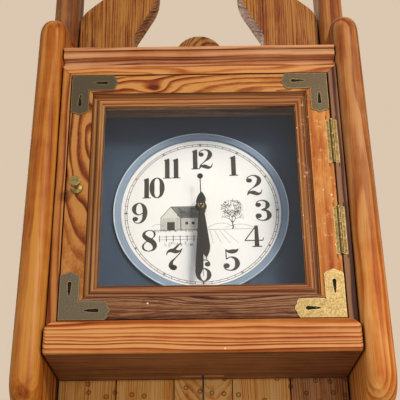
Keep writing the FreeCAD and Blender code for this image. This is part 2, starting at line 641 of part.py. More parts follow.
def make_brackets():
    """An L of sheet brass on each corner of the door, with shaped arm ends and two keyhole slots."""
    half, high, z0 = v.door_half, v.door_half_high, v.mid_z
    arm, shoulder, width = v.bracket_arm, v.bracket_shoulder, v.bracket_width
    middle, nose, hollow, turn_at = width / 2, v.bracket_nose, v.bracket_hollow, 45
    # each arm ends in a round nose that runs smoothly into a hollow on either side, then slants to its shoulder
    scoop = on_arc(arm - nose, middle, nose + hollow, -turn_at)
    leave, deep, meet = (on_arc(*scoop, hollow, degrees) for degrees in (200, (380 - turn_at) / 2, 180 - turn_at))
    over, swap = lambda point: (point[0], width - point[1]), lambda point: (point[1], point[0])
    shape = [(0, 0), (shoulder, 0), leave, deep + meet, (arm, middle) + over(meet), over(deep) + over(leave),
             (shoulder, width), (width, width), (width, shoulder), swap(over(leave)),
             swap(over(deep)) + swap(over(meet)), (middle, arm) + swap(meet), swap(deep) + swap(leave), (0, shoulder)]
    sheet = ("face_y - bracket_thick", "face_y")
    to_door = lambda a, b: (-half + a, z0 + high - b)
    plate = pad("XZ_Plane", placed(shape, to_door), *sheet)
    head_at, tail_at, head, tail = 46.0, 31.5, v.slot_head, v.slot_tail
    lean = math.degrees(math.asin((head - tail) / (head_at - tail_at)))
    h0, h1 = on_arc(head_at, middle, head, 90 + lean), on_arc(head_at, middle, head, -90 - lean)
    slot = [h0, (head_at + head, middle) + h1, (tail_at, middle - tail), (tail_at - tail, middle, tail_at, middle + tail)]
    turn = lambda a, b: to_door(b, a)
    deeper = ("face_y - bracket_thick - 1", "face_y + 1")
    inner = rod("y", "0.9", "4", "-door_half + bracket_width", "face_y - 2", "door_top - bracket_width")
    plate = cut(plate, pad("XZ_Plane", placed(slot, to_door), *deeper), pad("XZ_Plane", placed(slot, turn), *deeper),
                inner)
    doc.recompute()
    bevel = fresh("Part::Chamfer")
    bevel.Base = plate
    outer = [number for number, edge in enumerate(plate.Shape.Edges, start=1)
             if edge.BoundBox.YMax < v.face_y - v.bracket_thick + 0.01]
    bevel.Edges = [(number, 0.35, 0.35) for number in outer]
    top_left = part("corner_bracket_top_left", bevel)
    part("corner_bracket_top_right", mirror_x(top_left))
    bottom_left = part("corner_bracket_bottom_left", mirror_z(top_left))
    part("corner_bracket_bottom_right", mirror_x(bottom_left))
    pins = []
    for x, z in bracket_nails():
        head_y = "face_y - bracket_thick"
        dome = common(ball("2.2", x, "%s + 1.2" % head_y, z),
                      block("%s - 4" % x, "%s + 4" % x, "%s - 4" % head_y, head_y, "%s - 4" % z, "%s + 4" % z))
        pins.append(join(dome, nail_shank((x, z))))
    corner = group(*pins)
    low = mirror_z(corner)
    part("bracket_pins", group(corner, mirror_x(corner), low, mirror_x(low)))


def bracket_nails():
    """Places of the two nails of the top left bracket: one in the rail, one in the stile."""
    near, far = "bracket_width / 2", "(bracket_width / 2 + 24.5)"
    return [("-door_half + %s" % far, "door_top - %s" % near), ("-door_half + %s" % near, "door_top - %s" % far)]


def nail_shank(place):
    return rod("y", "0.6", "bracket_thick + 9", place[0], "face_y - bracket_thick", place[1])


def ball(radius, x, y, z):
    return bind(fresh("Part::Sphere"), Radius=radius, Placement__Base__x=x, Placement__Base__y=y, Placement__Base__z=z)


HINGES = (("upper_hinge", "upper_hinge_z"), ("lower_hinge", "lower_hinge_z"))


def hinge_cuts(side):
    """Mortises for both hinges with their saw kerfs: in the door's right stile or in the case side."""
    tools = []
    for _, z in HINGES:
        low, high = "%s - hinge_length / 2" % z, "%s + hinge_length / 2" % z
        tools.append(rod("z", "hinge_barrel / 2 + barrel_room", "hinge_length + 2", "pin_x", "pin_y", "%s - 1" % low))
        if side == "door":
            edge, x0, x1 = "pin_x - hinge_width / 2", "pin_x - hinge_width / 2", "pin_x"
            wing = ("door_half - hinge_leaf", "door_half + 1")
        else:
            edge, x0, x1 = "pin_x + hinge_width / 2 - kerf_width", "pin_x", "pin_x + hinge_width / 2"
            wing = ("case_in - 1", "case_in + hinge_leaf")
        tools.append(block(x0, x1, "face_y - 1", "face_y + hinge_leaf", low, high))
        tools.append(block(wing[0], wing[1], "face_y - 1", "face_y + hinge_wing", low, high))
        tools.append(block(edge, "%s + kerf_width" % edge, "face_y - 1", "face_y + hinge_leaf",
                           "%s - kerf_length" % low, "%s + kerf_length" % high))
        tools.extend(hinge_screw(side, z, step) for step in (-1, 1))
    return tools


def hinge_screw(side, z, step):
    """A countersunk screw through a leaf's wing, into the door's edge or the case side."""
    y, at = "face_y + hinge_wing - 4", "%s + %d * hinge_length / 3" % (z, step)
    if side == "door":
        head = cone("x", "1", "2", "hinge_leaf", "door_half - hinge_leaf", y, at)
        return join(head, rod("x", "1", "9", "door_half - hinge_leaf - 9", y, at))
    return join(cone("x", "2", "1", "hinge_leaf", "case_in", y, at), rod("x", "1", "9", "case_in + hinge_leaf", y, at))


def make_hinges():
    """Narrow brass hinges: each leaf lies in the face, turns into the gap, and carries its knuckles."""
    door_screws, case_screws = [], []
    for name, z in HINGES:
        low = "%s - hinge_length / 2" % z
        high = "%s + hinge_length / 2" % z
        knuckle = "(hinge_length / 3)"
        bore = rod("z", "hinge_pin / 2 + pin_clearance", "hinge_length + 2", "pin_x", "pin_y", "%s - 1" % low)
        room = "(hinge_barrel / 2 + knuckle_gap)"

        def barrel(z0, z1):
            return rod("z", "hinge_barrel / 2", "(%s) - (%s)" % (z1, z0), "pin_x", "pin_y", z0)

        def gap_for(z0, z1):
            return rod("z", room, "(%s) - (%s)" % (z1, z0), "pin_x", "pin_y", z0)

        third, two_thirds = "%s + %s" % (low, knuckle), "%s + 2 * %s" % (low, knuckle)
        door_flat = block("pin_x - hinge_width / 2", "pin_x - 0.4", "face_y", "face_y + hinge_leaf", low, high)
        door_wing = block("door_half - hinge_leaf", "door_half", "face_y", "face_y + hinge_wing", low, high)
        door_leaf = cut(join(door_flat, door_wing), gap_for("%s - 1" % low, "%s + knuckle_gap" % third),
                        gap_for("%s - knuckle_gap" % two_thirds, "%s + 1" % high),
                        block("pin_x - door_gap / 2", "pin_x", "face_y - 1", "face_y + 3", "%s - 1" % low,
                              "%s + knuckle_gap" % third),
                        block("pin_x - door_gap / 2", "pin_x", "face_y - 1", "face_y + 3",
                              "%s - knuckle_gap" % two_thirds, "%s + 1" % high))
        door_leaf = cut(join(door_leaf, barrel("%s + knuckle_gap" % third, "%s - knuckle_gap" % two_thirds)), bore,
                        hinge_screw("door", z, -1), hinge_screw("door", z, 1))
        case_flat = block("pin_x + 0.4", "pin_x + hinge_width / 2", "face_y", "face_y + hinge_leaf", low, high)
        case_wing = block("case_in", "case_in + hinge_leaf", "face_y", "face_y + hinge_wing", low, high)
        middle = ("%s" % third, "%s" % two_thirds)
        case_leaf = cut(join(case_flat, case_wing), gap_for(*middle),
                        block("pin_x", "pin_x + door_gap / 2", "face_y - 1", "face_y + 3", *middle))
        case_leaf = cut(join(case_leaf, barrel(low, third), barrel(two_thirds, high)), bore,
                        hinge_screw("case", z, -1), hinge_screw("case", z, 1))
        part(name + "_door_leaf", door_leaf)
        part(name + "_case_leaf", case_leaf)
        pin = join(rod("z", "hinge_pin / 2", "hinge_length", "pin_x", "pin_y", low),
                   rod("z", "hinge_barrel / 2", "1", "pin_x", "pin_y", high))
        part(name + "_pin", pin)
        for step in (-1, 1):
            door_screws.append(hinge_screw("door", z, step))
            case_screws.append(hinge_screw("case", z, step))
    part("hinge_screws_door", group(*door_screws))
    part("hinge_screws_case", group(*case_screws))


def make_knob_and_catch():
    r, reach, y = v.knob_diameter / 2, v.knob_length, v.face_y
    foot, rim = r + 0.2, y - reach + 4.6
    profile = outline(
        (0, y), (foot, y), (foot, y - 1.4), (foot - 0.3, y - 2.6, foot - 1.6, y - 3.2), (3.4, y - 4.4),
        (2.8, y - 9.0, 3.2, rim + 2.6), (4.6, rim + 1.2), (r - 0.8, rim + 0.8, r, rim), (r, rim - 3.4),
        (r - 0.4, y - reach + 0.4, r - 1.4, y - reach), (0, y - reach))
    knob = turned(profile, "knob_x", "knob_z")
    screw_bore = rod("y", "screw_radius", "8", "knob_x", "face_y - 8", "knob_z")
    part("door_knob", cut(knob, screw_bore))
    screw = join(rod("y", "screw_radius", "door_thick + 8", "knob_x", "face_y - 8", "knob_z"),
                 rod("y", "3.2", "1.6", "knob_x", "door_back", "knob_z"))
    part("knob_screw", screw)
    strike = block("-door_half + 6", "-door_half + 30", "door_back - 1.2", "door_back", "catch_z - 8", "catch_z + 8")
    part("strike_plate", soften(strike, 1.5, lambda edge: edge.BoundBox.YLength > 1))
    body = block("-case_in", "-case_in + 26", "door_back + magnet_gap + 1", "door_back + magnet_gap + 13",
                 "catch_z - 7", "catch_z + 7")
    tongue = block("-case_in + 10", "-case_in + 24", "door_back + magnet_gap", "door_back + magnet_gap + 2",
                   "catch_z - 5", "catch_z + 5")
    part("magnetic_catch", join(body, tongue))


# ------------------------------------------------------------------ dial
def make_dial():
    panel = block("-case_in + panel_play", "case_in - panel_play", "pan_back", "panel_back",
                  "shelf_over + panel_play", "case_under - panel_play")
    hole = rod("y", "spindle_hole", "20", "0", "dial_y - 2", "mid_z")
    x = "-case_in + cleat_width / 2"
    levels = ("mid_z - door_half * 0.7", "mid_z + door_half * 0.7")
    shanks = [rod("y", "screw_radius", "panel_thick + 9", x, "pan_back", z) for z in levels]
    part("dial_panel", cut(panel, hole, *shanks, *[mirror_x(shank) for shank in shanks]))
    cleat = block("-case_in", "-case_in + cleat_width", "panel_back", "panel_back + cleat_width", "shelf_over",
                  "case_under")
    cleat = cut(cleat, *shanks)
    strip = block("-case_in", "case_in", "pan_back - strip_thick", "pan_back", "case_under - strip_height", "case_under")
    part("panel_cleats", group(cleat, mirror_x(cleat), strip))
    left = group(*[join(shank, rod("y", "3", "1.4", x, "pan_back - 1.4", z)) for shank, z in zip(shanks, levels)])
    part("panel_screws", group(left, mirror_x(left)))
    r, rd, t = v.pan_diameter / 2, v.dial_diameter / 2, v.pan_thick
    front, card, back = v.dial_y - v.pan_lip, v.card_back, v.pan_back
    hole_r = v.spindle_hole
    pan = turned(outline((hole_r, card), (rd + 1.2, card), (rd + 2.4, front + t), (r - 1.6, front),
                         (r - 0.4, front - 0.5, r, front + 0.8), (r, back), (hole_r, back)), "0", "mid_z")
    part("dial_pan", pan)
    face = cut(rod("y", "dial_diameter / 2", "dial_thick", "0", "dial_y", "mid_z"), hole)
    part("dial_face", face)


# ------------------------------------------------------------------ movement
def make_movement():
    x0, x1 = "-move_width / 2", "move_width / 2"
    shell = block(x0, x1, "panel_back", "move_back", "move_low", "move_top")
    shell = soften(shell, 3.0, lambda edge: edge.BoundBox.YLength > 5)
    inside = block("%s + move_wall" % x0, "%s - move_wall" % x1, "panel_back + move_wall", "move_back + 1",
                   "move_low + move_wall", "move_top - move_wall")
    neck = rod("y", "neck_radius", "panel_back - dial_y + neck_length + 0.5", "0", "dial_y - neck_length", "mid_z")
    bore = rod("y", "hour_tube_radius + pin_clearance", "60", "0", "dial_y - neck_length - 1", "mid_z")
    part("movement_case", cut(join(cut(shell, inside), neck), bore))
    cover = block(x0, x1, "move_back", "cover_back", "move_low", "move_top")
    cover = soften(cover, 3.0, lambda edge: edge.BoundBox.YLength > 1)
    bay = block("-battery_length / 2 - 2", "battery_length / 2 + 2", "move_back - 1", "cover_back + 1",
                "battery_z - battery_radius - 1", "battery_z + battery_radius + 1")
    knob_hole = rod("y", "2.05", "6", "0", "move_back - 1", "set_knob_z")
    bearing = rod("y", "1.5", "cover_back + 6 - move_back", "0", "move_back", "pivot_z")
    journal = rod("y", "second_arbor_radius + pin_clearance", "move_wall * 0.7", "0", "move_back - 0.1", "mid_z")
    part("movement_cover", cut(join(cut(cover, bay, knob_hole), bearing), journal))
    nut_y = "dial_y - 3"
    nut = cut(join(hexagon(5.2, "dial_y - 3", "dial_y - 0.5"),
                   rod("y", "6.2", "0.5", "0", "dial_y - 0.5", "mid_z")),
              rod("y", "neck_radius", "8", "0", "%s - 1" % nut_y, "mid_z"))
    part("movement_nut", nut)
    # wheels: plain rims on their tubes, one behind another
    hour_y, minute_y, second_y = "panel_back + 2.4", "panel_back + 4.6", "panel_back + 7.6"
    hour = cut(join(rod("y", "hour_tube_radius", "(%s) - (dial_y - hour_front - 1)" % hour_y, "0",
                        "dial_y - hour_front - 1", "mid_z"),
                    rod("y", "11", "1.2", "0", hour_y, "mid_z")),
               rod("y", "minute_tube_radius + pin_clearance", "60", "0", "dial_y - hour_front - 2", "mid_z"))
    part("hour_wheel", hour)
    minute = cut(join(rod("y", "minute_tube_radius", "(%s) - (dial_y - minute_front - 1)" % minute_y, "0",
                          "dial_y - minute_front - 1", "mid_z"),
                      rod("y", "minute_wheel_radius", "wheel_thick", "0", minute_y, "mid_z")),
                 rod("y", "second_arbor_radius + pin_clearance", "60", "0", "dial_y - minute_front - 2", "mid_z"))
    part("minute_wheel", minute)
    second = join(rod("y", "second_arbor_radius", "move_back - (dial_y - second_front - 1) + move_wall * 0.5", "0",
                      "dial_y - second_front - 1", "mid_z"),
                  rod("y", "9", "1", "0", second_y, "mid_z"))
    part("second_wheel", second)
    set_knob = join(rod("y", "2", "cover_back - (%s)" % minute_y, "0", minute_y, "set_knob_z"),
                    rod("y", "minute_wheel_radius / 1.5", "wheel_thick", "0", minute_y, "set_knob_z"),
                    rod("y", "5.5", "2.4", "0", "cover_back", "set_knob_z"))
    part("set_knob", set_knob)
    cell = join(rod("x", "battery_radius", "battery_length - 1.2", "-battery_length / 2", "cover_back - battery_radius",
                    "battery_z"),
                rod("x", "2.6", "1.2", "battery_length / 2 - 1.2", "cover_back - battery_radius", "battery_z"))
    part("battery", cell)


def hexagon(across, y0, y1):
    """A hexagonal prism about the hands' axis, given half its width across corners."""
    points = [on_arc(0, v.mid_z, across, 60 * i) for i in range(6)]
    return pad("XZ_Plane", outline(points[0], *points[1:]), y0, y1)


# ------------------------------------------------------------------ hands
def turned_by(steps, degrees):
    """Turns a list of outline steps clockwise about the hands' centre."""
    angle = math.radians(degrees)
    spin = lambda a, b: (a * math.cos(angle) + b * math.sin(angle), v.mid_z - a * math.sin(angle) + b * math.cos(angle))
    return placed(steps, spin)


def hand_outline(length, point_at, wide, wide_at, neck, tail, tail_wide):
    """Outline of a hand that points up: a leaf tail, a neck, a blade that widens evenly, and a fine point."""
    left = [(-0.5, -tail), (-tail_wide * 0.78, -tail * 0.66, -tail_wide, -tail * 0.4), (-neck, 3.0), (-wide, wide_at),
            (-wide * 0.66, wide_at + (point_at - wide_at) * 0.6, -0.65, point_at), (-0.4, length)]
    ends = [step[-2:] for step in left]
    right = [(-ends[-1][0], ends[-1][1])]
    for step, end in zip(left[:0:-1], ends[-2::-1]):
        right.append(((-step[0], step[1]) if len(step) == 4 else ()) + (-end[0], end[1]))
    return left + right


def make_hand(label, steps, degrees, front, boss, bore):
    y0 = "dial_y - %s" % front
    blade = pad("XZ_Plane", turned_by(steps, degrees), y0, "%s + hand_thick" % y0)
    hub = rod("y", boss, "hand_thick", "0", y0, "mid_z")
    hand = join(blade, hub)
    return part(label, cut(hand, rod("y", bore, "4", "0", "%s - 1" % y0, "mid_z")) if bore else hand)


def make_hands():
    make_hand("hour_hand", hand_outline(v.hour_length, 72.0, 6.4, 57.0, 3.6, 18.0, 6.2), v.hour_turned, "hour_front",
              "7.6", "hour_tube_radius")
    make_hand("minute_hand", hand_outline(v.minute_length, 99.0, 5.2, 85.0, 2.9, 20.0, 6.4), v.minute_turned,
              "minute_front", "6.8", "minute_tube_radius")
    tail = 41.5
    needle = [(-0.7, -tail), (-0.7, 0), (-0.35, v.second_length), (0.35, v.second_length), (0.7, 0), (0.7, -tail)]
    y0 = "dial_y - second_front"
    blade = pad("XZ_Plane", turned_by(needle, v.second_turned), y0, "%s + hand_thick" % y0)
    angle = math.radians(v.second_turned)
    weight = rod("y", "3.9", "hand_thick", "%.6g" % (-tail * math.sin(angle)), y0, "mid_z + %.6g" % (-tail * math.cos(angle)))
    hub = rod("y", "3", "hand_thick", "0", y0, "mid_z")
    part("second_hand", cut(join(blade, weight, hub), rod("y", "second_arbor_radius", "4", "0", "%s - 1" % y0, "mid_z")))


# ------------------------------------------------------------------ pendulum
def make_pendulum():
    """A hook on the movement's bearing pin, a thin rod, a lens-shaped bob and a rating nut."""
    hook = join(rod("y", "4", "2", "0", "swing_y - 1", "pivot_z"),
                block("-2.4", "2.4", "swing_y - 1", "swing_y + 1", "pivot_z - 26", "pivot_z"))
    hook = cut(hook, rod("y", "1.5 + pin_clearance", "6", "0", "swing_y - 3", "pivot_z"),
               rod("z", "rod_radius", "14", "0", "swing_y", "pivot_z - 27"))
    part("pendulum_hook", hook)
    stem = rod("z", "rod_radius", "pivot_z - 13 - (bob_z - bob_radius - 23)", "0", "swing_y", "bob_z - bob_radius - 23")
    part("pendulum_rod", stem)
    r, t, y = v.bob_radius, v.bob_thick / 2, v.swing_y
    lens = turned(outline((0, y - t), (r * 0.55, y - t * 0.8, r - 0.8, y - 0.9), (r, y - 0.4), (r, y + 0.4),
                          (r - 0.8, y + 0.9), (r * 0.55, y + t * 0.8, 0, y + t)), "0", "bob_z")
    bore = rod("z", "rod_radius", "4 * bob_radius", "0", "swing_y", "bob_z - 2 * bob_radius")
    part("pendulum_bob", cut(lens, bore))
    nut = cut(rod("z", "4.2", "5", "0", "swing_y", "bob_z - bob_radius - 5.2"), bore)
    part("rating_nut", nut)


make_side_boards()
make_planks()
make_case()
make_cornice()
make_shelf()
make_rails()
make_hanger()
make_door_frame()
make_glazing()
make_brackets()
make_hinges()
make_knob_and_catch()
make_dial()
make_movement()
make_hands()
make_pendulum()

# ------------------------------------------------------------------ check and write
doc.recompute()
for item in doc.Objects:
    if "Invalid" in item.State or "Error" in item.State:
        raise RuntimeError("%s (%s) failed: %s" % (item.Name, item.Label, item.State))
os.makedirs("parts", exist_ok=True)
for label, item in parts.items():
    shape = item.Shape
    if shape.isNull() or not shape.isValid() or not shape.Solids:
        raise RuntimeError("%s has no valid solid" % label)
    shape.exportStep("parts/%s.step" % label)
    box = shape.BoundBox
    print("%-28s solids %d  X %7.1f %7.1f  Y %7.1f %7.1f  Z %7.1f %7.1f" % (
        label, len(shape.Solids), box.XMin, box.XMax, box.YMin, box.YMax, box.ZMin, box.ZMax))
print(len(parts), "nodes")
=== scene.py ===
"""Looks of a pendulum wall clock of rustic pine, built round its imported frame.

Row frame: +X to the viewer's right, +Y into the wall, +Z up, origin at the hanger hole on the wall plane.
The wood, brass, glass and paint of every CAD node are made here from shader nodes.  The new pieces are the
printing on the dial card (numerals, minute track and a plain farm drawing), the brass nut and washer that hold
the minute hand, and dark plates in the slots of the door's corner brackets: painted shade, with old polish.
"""

import math

import bpy
import numpy as np
from mathutils import Matrix, Vector


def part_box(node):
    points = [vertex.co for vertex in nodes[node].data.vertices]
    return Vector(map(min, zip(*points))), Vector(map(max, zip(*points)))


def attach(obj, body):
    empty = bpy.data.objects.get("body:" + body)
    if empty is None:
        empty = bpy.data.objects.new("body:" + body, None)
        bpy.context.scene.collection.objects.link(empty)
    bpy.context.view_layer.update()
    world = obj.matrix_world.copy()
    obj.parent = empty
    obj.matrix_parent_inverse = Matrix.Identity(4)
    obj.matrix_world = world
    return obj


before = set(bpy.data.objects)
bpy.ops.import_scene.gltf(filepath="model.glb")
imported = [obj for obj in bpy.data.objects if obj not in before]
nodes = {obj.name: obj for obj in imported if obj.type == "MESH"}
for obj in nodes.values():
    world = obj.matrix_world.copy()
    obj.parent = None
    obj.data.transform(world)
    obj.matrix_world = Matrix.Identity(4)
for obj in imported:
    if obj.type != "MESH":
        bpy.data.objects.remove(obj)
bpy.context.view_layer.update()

MM = 0.001

# places in the CAD that the finishes and the new pieces are set out from (mm)
HANDS_Z = -270.0                               # height of the hands' axis, which is the door's middle too
DOOR_HALF_WIDE, DOOR_HALF_HIGH = 171.5, 172.15
PLUGS_BELOW, PLUGS_BEFORE = -486.0, -18.0      # stopped nail holes: under the shelf, on the planks' front half


# ------------------------------------------------------------------ small tools
def colour(code):
    """sRGB hex to linear: a channel over 0.04045 is ((c + 0.055) / 1.055) ** 2.4, a lower one is c / 12.92."""
    parts = [int(code[i:i + 2], 16) / 255 for i in (0, 2, 4)]
    return tuple(c / 12.92 if c <= 0.04045 else ((c + 0.055) / 1.055) ** 2.4 for c in parts) + (1.0,)


def add(tree, kind, inputs=None, stops=None, **settings):
    """Adds one shader node, sets its properties and ramp stops, then links or fills its inputs."""
    node = tree.nodes.new("ShaderNode" + kind)
    for key, value in settings.items():
        setattr(node, key, value)
    if stops:
        ramp = node.color_ramp
        while len(ramp.elements) < len(stops):
            ramp.elements.new(1.0)
        for element, (place, shade) in zip(ramp.elements, stops):
            element.position = place
            element.color = shade if isinstance(shade, tuple) else (shade, shade, shade, 1.0)
    for key, value in (inputs or {}).items():
        if isinstance(value, bpy.types.Node):
            value = value.outputs[0]
        if isinstance(value, bpy.types.NodeSocket):
            tree.links.new(value, node.inputs[key])
        else:
            node.inputs[key].default_value = value
    return node


def maths(tree, operation, *values):
    """A maths node of one operation on its values or links."""
    return add(tree, "Math", dict(enumerate(values)), operation=operation)


def vectors(tree, operation, *values):
    """A vector maths node of one operation on its values or links."""
    return add(tree, "VectorMath", dict(enumerate(values)), operation=operation)


def blend(tree, amount, one, other):
    """A colour between one (amount 0) and other (amount 1)."""
    return add(tree, "Mix", {"Factor": amount, 6: one, 7: other}, data_type="RGBA").outputs[2]


def start(name):
    """An empty material, its tree, and the piece's own coordinates in millimetres."""
    material = bpy.data.materials.new(name)
    material.use_nodes = True
    tree = material.node_tree
    tree.nodes.clear()
    place = vectors(tree, "MULTIPLY", add(tree, "TexCoord").outputs["Object"], (1000.0,) * 3)
    return material, tree, place


def coat(names, material):
    """Puts one material in every slot of the named CAD nodes."""
    for name in names:
        for slot in nodes[name].material_slots:
            slot.material = material


# ------------------------------------------------------------------ pine
# Slow-grown pine, brushed with a honey stain and a thin satin varnish.  The eye sees growth rings where a face
# cuts them, fine fibre along the grain, darker blotches of stain, knots with the grain flowing round them,
# edges rubbed pale, and here and there a fleck of wall paint.
BEAD_IN = 28.5                 # the moulding begins this far in from the door's outer edge (mm)
QUIRKS = (29.3, 35.3, 44.6)    # and its grooves lie this far in
DEPTHS = ((0.0, 0.72), (0.3, 1.0), (0.62, 1.5), (1.0, 2.5))    # tone, and the stain's depth there


def stained(code):
    """Ramp stops of one stain: where it lies thicker, the linear colour is raised to a higher power."""
    return [(place, tuple(c ** power for c in colour(code)[:3]) + (1.0,)) for place, power in DEPTHS]


def edge_wear_and_highlight(tree, reach, low, high):
    """How far the surface turns within reach (m) of a point: nothing on a flat, one on a sharp edge."""
    soft = add(tree, "Bevel", {"Radius": reach}, samples=4)
    true = add(tree, "NewGeometry").outputs["Normal"]
    same = vectors(tree, "DOT_PRODUCT", soft, true).outputs["Value"]
    worn = add(tree, "MapRange", {"Value": same, "From Min": 1.0 - low, "From Max": 1.0 - high})
    return worn.outputs["Result"]


def corner_shade_and_dirt(tree, reach, low, high):
    """How far a point lies in a crack or corner (0 open, 1 closed in), looking as far as reach (m): the mask
    of painted shade and dirt in corners.
    """
    closed = add(tree, "AmbientOcclusion", {"Distance": reach}, samples=8).outputs["AO"]
    return add(tree, "MapRange", {"Value": closed, "From Min": low, "From Max": high, "To Min": 1.0,
                                  "To Max": 0.0}).outputs["Result"]


def pine(name, stain, grain, heart, ring=5.0, lean=(0.0, 0.0), wander=5.0, lines=0.5, streaks=0.9, fibre=0.65,
         knots=(), pegs=0.0, flecks=0.0, smears=0.0, painted_shading_by_height=None, cracks=0.0, fade=None, bead=None):
    """Pine sawn round a heart line: ring number = distance from the line / ring width, bent by slow noise.

    grain is the axis the board lies along and heart a point on the line (mm).  lean is how far the line drifts
    sideways and into the board per mm of its length, which draws long arches on a flat face.  knots are
    (x, z, radius) in mm.  lines, streaks and fibre say how strongly each shows.  aloft is (z from, z to,
    colour) for painted light and shade: towards the top the board turns to a second brown, set by how it is
    lit there.  fade is how far from the heart line (mm) the rings still show, and bead the stain of the
    moulding round the door's glass.  pegs, flecks and smears say how common stopped nail holes, spots of wall
    paint and wiped pale patches are, and cracks how deep the weather splits go.
    """
    material, tree, place = start(name)
    local = add(tree, "SeparateXYZ", {0: vectors(tree, "SUBTRACT", place, heart)})
    along, wide = local.outputs["Z" if grain == "Z" else "X"], local.outputs["X" if grain == "Z" else "Z"]
    side = maths(tree, "MULTIPLY_ADD", along, -lean[0], wide)
    deep = maths(tree, "MULTIPLY_ADD", along, -lean[1], local.outputs["Y"])
    log = add(tree, "CombineXYZ", {0: side, 1: deep, 2: along})

    # slow wander of the rings, much longer along the grain than across it
    slow = vectors(tree, "MULTIPLY", log, (1 / 42, 1 / 42, 1 / 260))
    wave = add(tree, "TexNoise", {"Vector": slow, "Scale": 1.0, "Detail": 2.0, "Roughness": 0.45})
    bend = vectors(tree, "SUBTRACT", wave.outputs["Color"], (0.5, 0.5, 0.5))
    bent = vectors(tree, "MULTIPLY_ADD", bend, (4 * wander, 4 * wander, 0.0), log)
    flat = vectors(tree, "MULTIPLY", bent, (1.0, 1.0, 0.0))
    radius = vectors(tree, "LENGTH", flat).outputs["Value"]

    # a knot lifts the rings round it and is dark at its own centre
    dark_heart = None
    for x, z, size in knots:
        stretch = (1.0, 0.0, 0.55) if grain == "Z" else (0.55, 0.0, 1.0)
        gap = vectors(tree, "SUBTRACT", place, (x, 0.0, z))
        gap = vectors(tree, "MULTIPLY", gap, tuple(s / size for s in stretch))
        gap = vectors(tree, "LENGTH", gap).outputs["Value"]
        fall = maths(tree, "MULTIPLY", gap, gap)
        fall = maths(tree, "EXPONENT", maths(tree, "MULTIPLY", fall, -0.35))
        radius = maths(tree, "MULTIPLY_ADD", fall, 1.6 * size, radius)
        core = maths(tree, "EXPONENT", maths(tree, "MULTIPLY", gap, -2.2))
        dark_heart = core if dark_heart is None else maths(tree, "MAXIMUM", dark_heart, core)

    # good and bad years: rings stand closer or wider, paler or darker
    years = add(tree, "TexNoise", {"W": maths(tree, "MULTIPLY", radius, 0.22 / ring),
                                   "Scale": 1.0, "Detail": 2.0}, noise_dimensions="1D")
    count = maths(tree, "DIVIDE", radius, ring)
    count = maths(tree, "MULTIPLY_ADD", years, 3.0, count)
    season = add(tree, "ValToRGB", {"Fac": maths(tree, "FRACT", count)},
                 stops=[(0.0, 0.0), (0.3, 0.08), (0.66, 0.7), (0.84, 1.0), (0.97, 0.12), (1.0, 0.0)])
    strength = add(tree, "MapRange", {"Value": years, "From Min": 0.3, "From Max": 0.7, "To Min": 1.25,
                                      "To Max": 0.35})
    shown_ring = maths(tree, "MULTIPLY", maths(tree, "SUBTRACT", season, 0.36), strength)
    if fade:
        near = add(tree, "MapRange", {"Value": radius, "From Min": 0.7 * fade, "From Max": 1.3 * fade,
                                      "To Min": 1.0, "To Max": 0.12})
        shown_ring = maths(tree, "MULTIPLY", shown_ring, near)

    fine = vectors(tree, "MULTIPLY", bent, (0.62, 0.62, 0.012))
    hair = add(tree, "TexNoise", {"Vector": fine, "Scale": 1.0, "Detail": 4.0, "Roughness": 0.62})
    broad = vectors(tree, "MULTIPLY", bent, (1 / 13, 1 / 13, 1 / 300))
    streak = add(tree, "TexNoise", {"Vector": broad, "Scale": 1.0, "Detail": 2.5, "Roughness": 0.5})
    blot = add(tree, "TexNoise", {"Vector": place, "Scale": 0.02, "Detail": 3.0, "Roughness": 0.6})
    tone = maths(tree, "MULTIPLY_ADD", shown_ring, lines, 0.3 - 0.5 * (fibre + streaks + 0.5))
    for part, much in ((hair, fibre), (streak, streaks), (blot, 0.5)):
        tone = maths(tree, "MULTIPLY_ADD", part, much, tone)
    if dark_heart is not None:
        tone = maths(tree, "MULTIPLY_ADD", dark_heart, 1.1, tone)

    height = maths(tree, "MULTIPLY_ADD", hair, 0.5, season)
    if cracks:
        # weathered face: short bent splits, darker because stain and dirt lie in them
        torn = vectors(tree, "MULTIPLY", bent, (1 / 1.9, 1 / 1.9, 1 / 34))
        split = add(tree, "TexNoise", {"Vector": torn, "Scale": 1.0, "Detail": 4.0, "Roughness": 0.6,
                                       "Distortion": 0.9})
        split = add(tree, "MapRange", {"Value": split, "From Min": 0.44, "From Max": 0.66},
                    interpolation_type="SMOOTHSTEP")
        split = split.outputs["Result"]
        tone = maths(tree, "MULTIPLY_ADD", split, 0.62 * cracks, tone)
        height = maths(tree, "MULTIPLY_ADD", split, -3.0 * cracks, height)
    if pegs:
        # stopped nail holes on the planks under the shelf: small round plugs, grey-brown, standing proud
        spot = add(tree, "SeparateXYZ", {0: place})
        cells = add(tree, "CombineXYZ", {0: spot.outputs["X"], 1: spot.outputs["Z"]})
        cells = add(tree, "TexVoronoi", {"Vector": cells, "Scale": 1 / 17, "Randomness": 0.8},
                    voronoi_dimensions="2D")
        rim = add(tree, "ValToRGB", {"Fac": cells.outputs["Distance"]},
                  stops=[(0.0, 0.25), (0.11, 0.25), (0.14, 1.0), (0.165, 1.0), (0.20, 0.0)])
        plug = add(tree, "SeparateColor", {"Color": rim})
        draft = add(tree, "SeparateColor", {"Color": cells.outputs["Color"]})
        plug = maths(tree, "MULTIPLY", plug, maths(tree, "GREATER_THAN", draft, 1 - pegs))
        low = maths(tree, "LESS_THAN", spot.outputs["Z"], PLUGS_BELOW)
        plug = maths(tree, "MULTIPLY", plug, low)
        outer = maths(tree, "LESS_THAN", spot.outputs["Y"], PLUGS_BEFORE)
        plug = maths(tree, "MULTIPLY", plug, outer)
        tone = maths(tree, "MULTIPLY_ADD", plug, 0.42, tone)
        height = maths(tree, "MULTIPLY_ADD", plug, 4.0, height)
    rubbed = edge_wear_and_highlight(tree, 0.0012, 0.03, 0.30)
    tone = maths(tree, "MULTIPLY_ADD", rubbed, -0.16, tone)
    tone = maths(tree, "MULTIPLY_ADD", tone, 1.25, -0.09)

